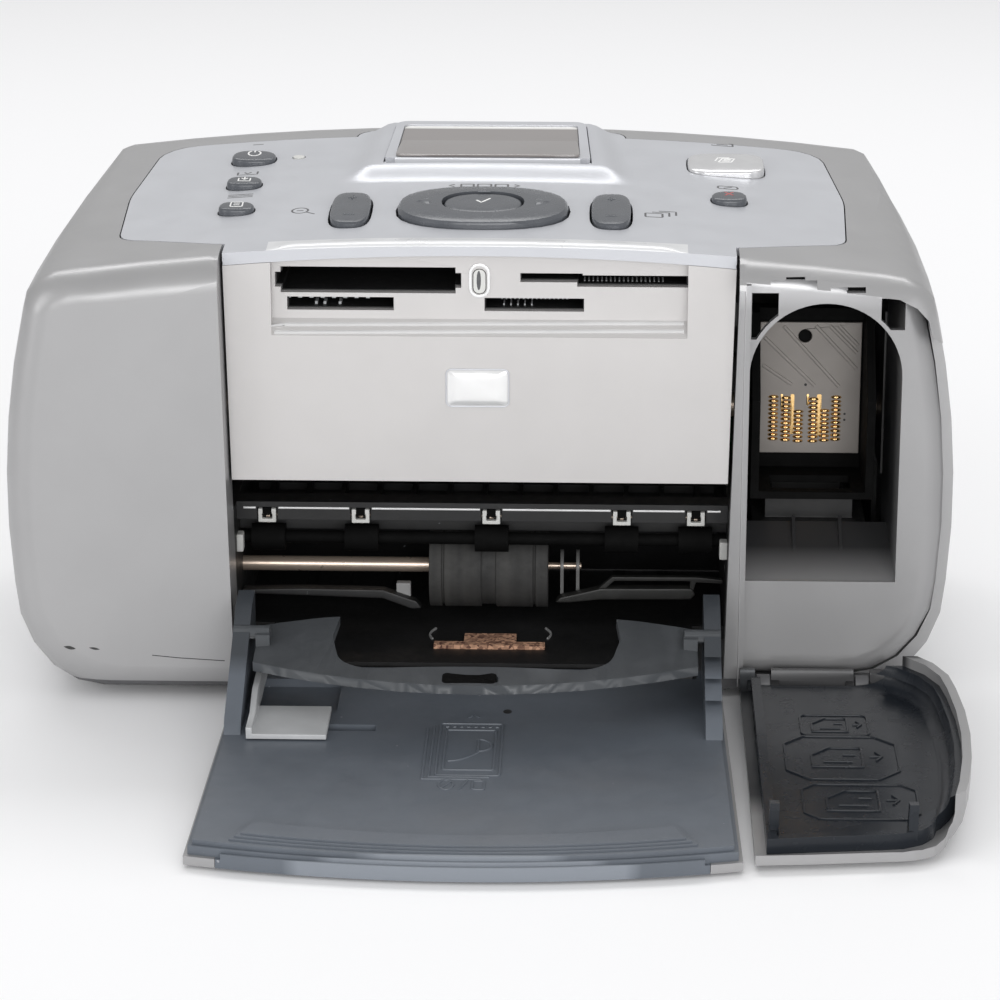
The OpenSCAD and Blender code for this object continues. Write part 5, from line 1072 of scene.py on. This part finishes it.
# %% Springs beside the cork, on the floor of the path
CHANNEL = DRESSED["paper_channel"]
HOOK_BULGE, HOOK_POINTS = 1.6, 14
hook_x = HOOK_BULGE * np.sin(np.linspace(0.2, 2.6, HOOK_POINTS))
hook = np.column_stack([hook_x, np.linspace(2.6, -4.6, HOOK_POINTS)])
beads("path_springs", [hook * (-1, 1) + (-11.0, -30.4), hook + (14.9, -29.6)], 0.55, 0.45, CHANNEL,
      "pulley_grey", "case", "guide_grey")
print("two springs bulge by", HOOK_BULGE, "mm")

# %% [markdown]
# ## The display's window
#
# The window is a slightly proud pane that fills the frame nearly to its edges. Its outline is a
# rectangle with round corners that narrows toward the back, laid on the plane through the
# frame's two side rims. Its rear strip is painted paler: a painted reflection of the light. The
# pane is a stack of four outlines: a skirt that dips into the frame, and a rim that rises in two
# small steps, which is finer here than a bevel.

# %% Display window
frame_low, frame_high = span("display_frame")
WINDOW_Y0, WINDOW_Y1 = frame_low[1] + 2.3, frame_high[1] - 0.6
HALF_FRONT, HALF_BACK, WINDOW_CORNER = 22.3, 21.2, 1.2
RIM_INSET, RIM_Y0, RIM_Y1 = 2.6, 10, 26
rim_places = [(frame_low[0] + RIM_INSET, frame_low[1] + y) for y in (RIM_Y0, RIM_Y1)]
rim_points = throw(rim_places, DRESSED["display_frame"], "top")
rise = (rim_points[1, 2] - rim_points[0, 2]) / (RIM_Y1 - RIM_Y0)


def pane_outline(inset, turn=WINDOW_CORNER):
    """Trapezoid with round corners, drawn in by inset."""
    x0, x1 = HALF_FRONT - inset, HALF_BACK - inset
    y0, y1 = WINDOW_Y0 + inset, WINDOW_Y1 - inset
    spots = [(-x0 + turn, y0 + turn, 180), (x0 - turn, y0 + turn, 270), (x1 - turn, y1 - turn, 0),
             (-x1 + turn, y1 - turn, 90)]
    return np.vstack([arc(x, y, turn, turn, a, a + 90, 7) for x, y, a in spots])


def pane(name, insets, heights, finish_name):
    """Stack of pane outlines, each at a height over the plane of the rims: z = the first rim
    point's z + rise * (y - its y) + height."""
    rings = [pane_outline(inset) for inset in insets]
    planes = [rim_points[0, 2] + rise * (ring[:, 1] - rim_points[0, 1]) for ring in rings]
    stack = [np.column_stack([ring, z + height]) for ring, z, height in zip(rings, planes, heights)]
    index = np.arange(len(stack) * len(rings[0])).reshape(len(stack), -1)
    made = turn_outwards(piece(name, np.vstack(stack), ring_faces(index)))
    return wear_finish(made, finish_name, "display")


PAINTED_REFLECTION_FROM, PAINTED_REFLECTION_TO = 5.4, 4.6
# Painted reflection: the glass's rear strip is painted paler.
second_coat("glass", "Y", WINDOW_Y1 - PAINTED_REFLECTION_FROM + DRAWING_Y, WINDOW_Y1 - PAINTED_REFLECTION_TO + DRAWING_Y,
            (0.80, 0.79, 0.76))
window = pane("display_window", (0.0, 0.0, 0.2, 0.5), (-0.4, 0.05, 0.14, 0.16), "glass")
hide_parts("display_glass")
print("window", round(WINDOW_Y1 - WINDOW_Y0, 1), "mm deep")

# %% [markdown]
# ## Painted shade in the pockets behind the latch notches, and in the notch of the shelf
#
# The notches in the band over the cartridge bay open into pockets, and the shelf's front edge
# has a deep finger notch. Real holes would need a cut through the dressed solids. Instead the
# shade inside them is painted, and looks the same: a deep black block just behind the cover's
# skin, and a deep black cushion on the shelf.

# %% Pockets and the finger notch
POCKET_SHADES = {"latch_pocket_shade_left": (67.4, 76.4, 102.0, 104.2), "latch_pocket_shade_right": (83.6, 88.8, 99.4, 101.7)}
BESIDE, ABOVE, BEHIND, POCKET_DEPTH = 1.2, 0.1, 0.3, 1.0
for name, (x0, x1, z0, z1) in POCKET_SHADES.items():
    beside = [(x, z1 + ABOVE) for x in (x0 - BESIDE, x1 + BESIDE)]
    pocket_y = throw(beside, DRESSED["housing"], "front")[:, 1].max() + BEHIND
    block(name, (x0, pocket_y, z0), (x1, pocket_y + POCKET_DEPTH, z1), "black_and_painted_shade", "case")
    print(name, "starts at y =", round(pocket_y, 1))
SHELF = DRESSED["output_shelf"]
NOTCH_X0, NOTCH_X1, NOTCH_START, NOTCH_STOP, NOTCH_CORNER = -6.9, 5.3, 1.2, 6.4, 1.2
shelf_y = span("output_shelf")[0][1]
notch = frame_line(NOTCH_X0, NOTCH_X1, shelf_y + NOTCH_START, shelf_y + NOTCH_STOP, NOTCH_CORNER)[:-1]
# Painted shade: a black cushion stands for the finger notch.
cushions("finger_notch_shade", [notch], 0.06, SHELF, "black_and_painted_shade", "output_shelf", "black_plastic", rings=3)
print("the notch starts at y =", round(shelf_y + NOTCH_START, 1))

# %% [markdown]
# ## Wear
#
# The left cover has two dark scuffs low on its front and one long fine scratch. They are as thin
# as ink, and lie on the cover as the printed signs do.

# %% Wear on the left cover
COVER = DRESSED["housing"]


def scratch(points, widest):
    """Outline of a stroke that is widest in its middle and ends in points."""
    path = np.asarray(points, float)
    t = np.linspace(0, 1, 12)
    at = np.linspace(0, 1, len(path))
    middle_line = np.column_stack([np.interp(t, at, path[:, 0]), np.interp(t, at, path[:, 1])])
    half = widest / 2 * np.sin(np.pi * t)[:, None] * (0, 1)
    return np.vstack([middle_line + half, (middle_line - half)[1:-1][::-1]])


scuffs = [scratch([(-97.2, 13.4), (-94.2, 13.0)], 0.9), scratch([(-91.2, 13.3), (-88.6, 12.9)], 0.6)]
cushions("cover_scuffs", scuffs, 0.02, COVER, "scuff_dark", "case", "black_plastic", facing="front", rings=3)
beads("cover_scratch", [line((-76.4, 11.6), (-70.0, 11.0), (-59.4, 10.4))], 0.22, 0.02, COVER, "scuff_dark",
      "case", "black_plastic", facing="front", steps=4)
print(len(scuffs), "scuffs and a scratch on the left cover")
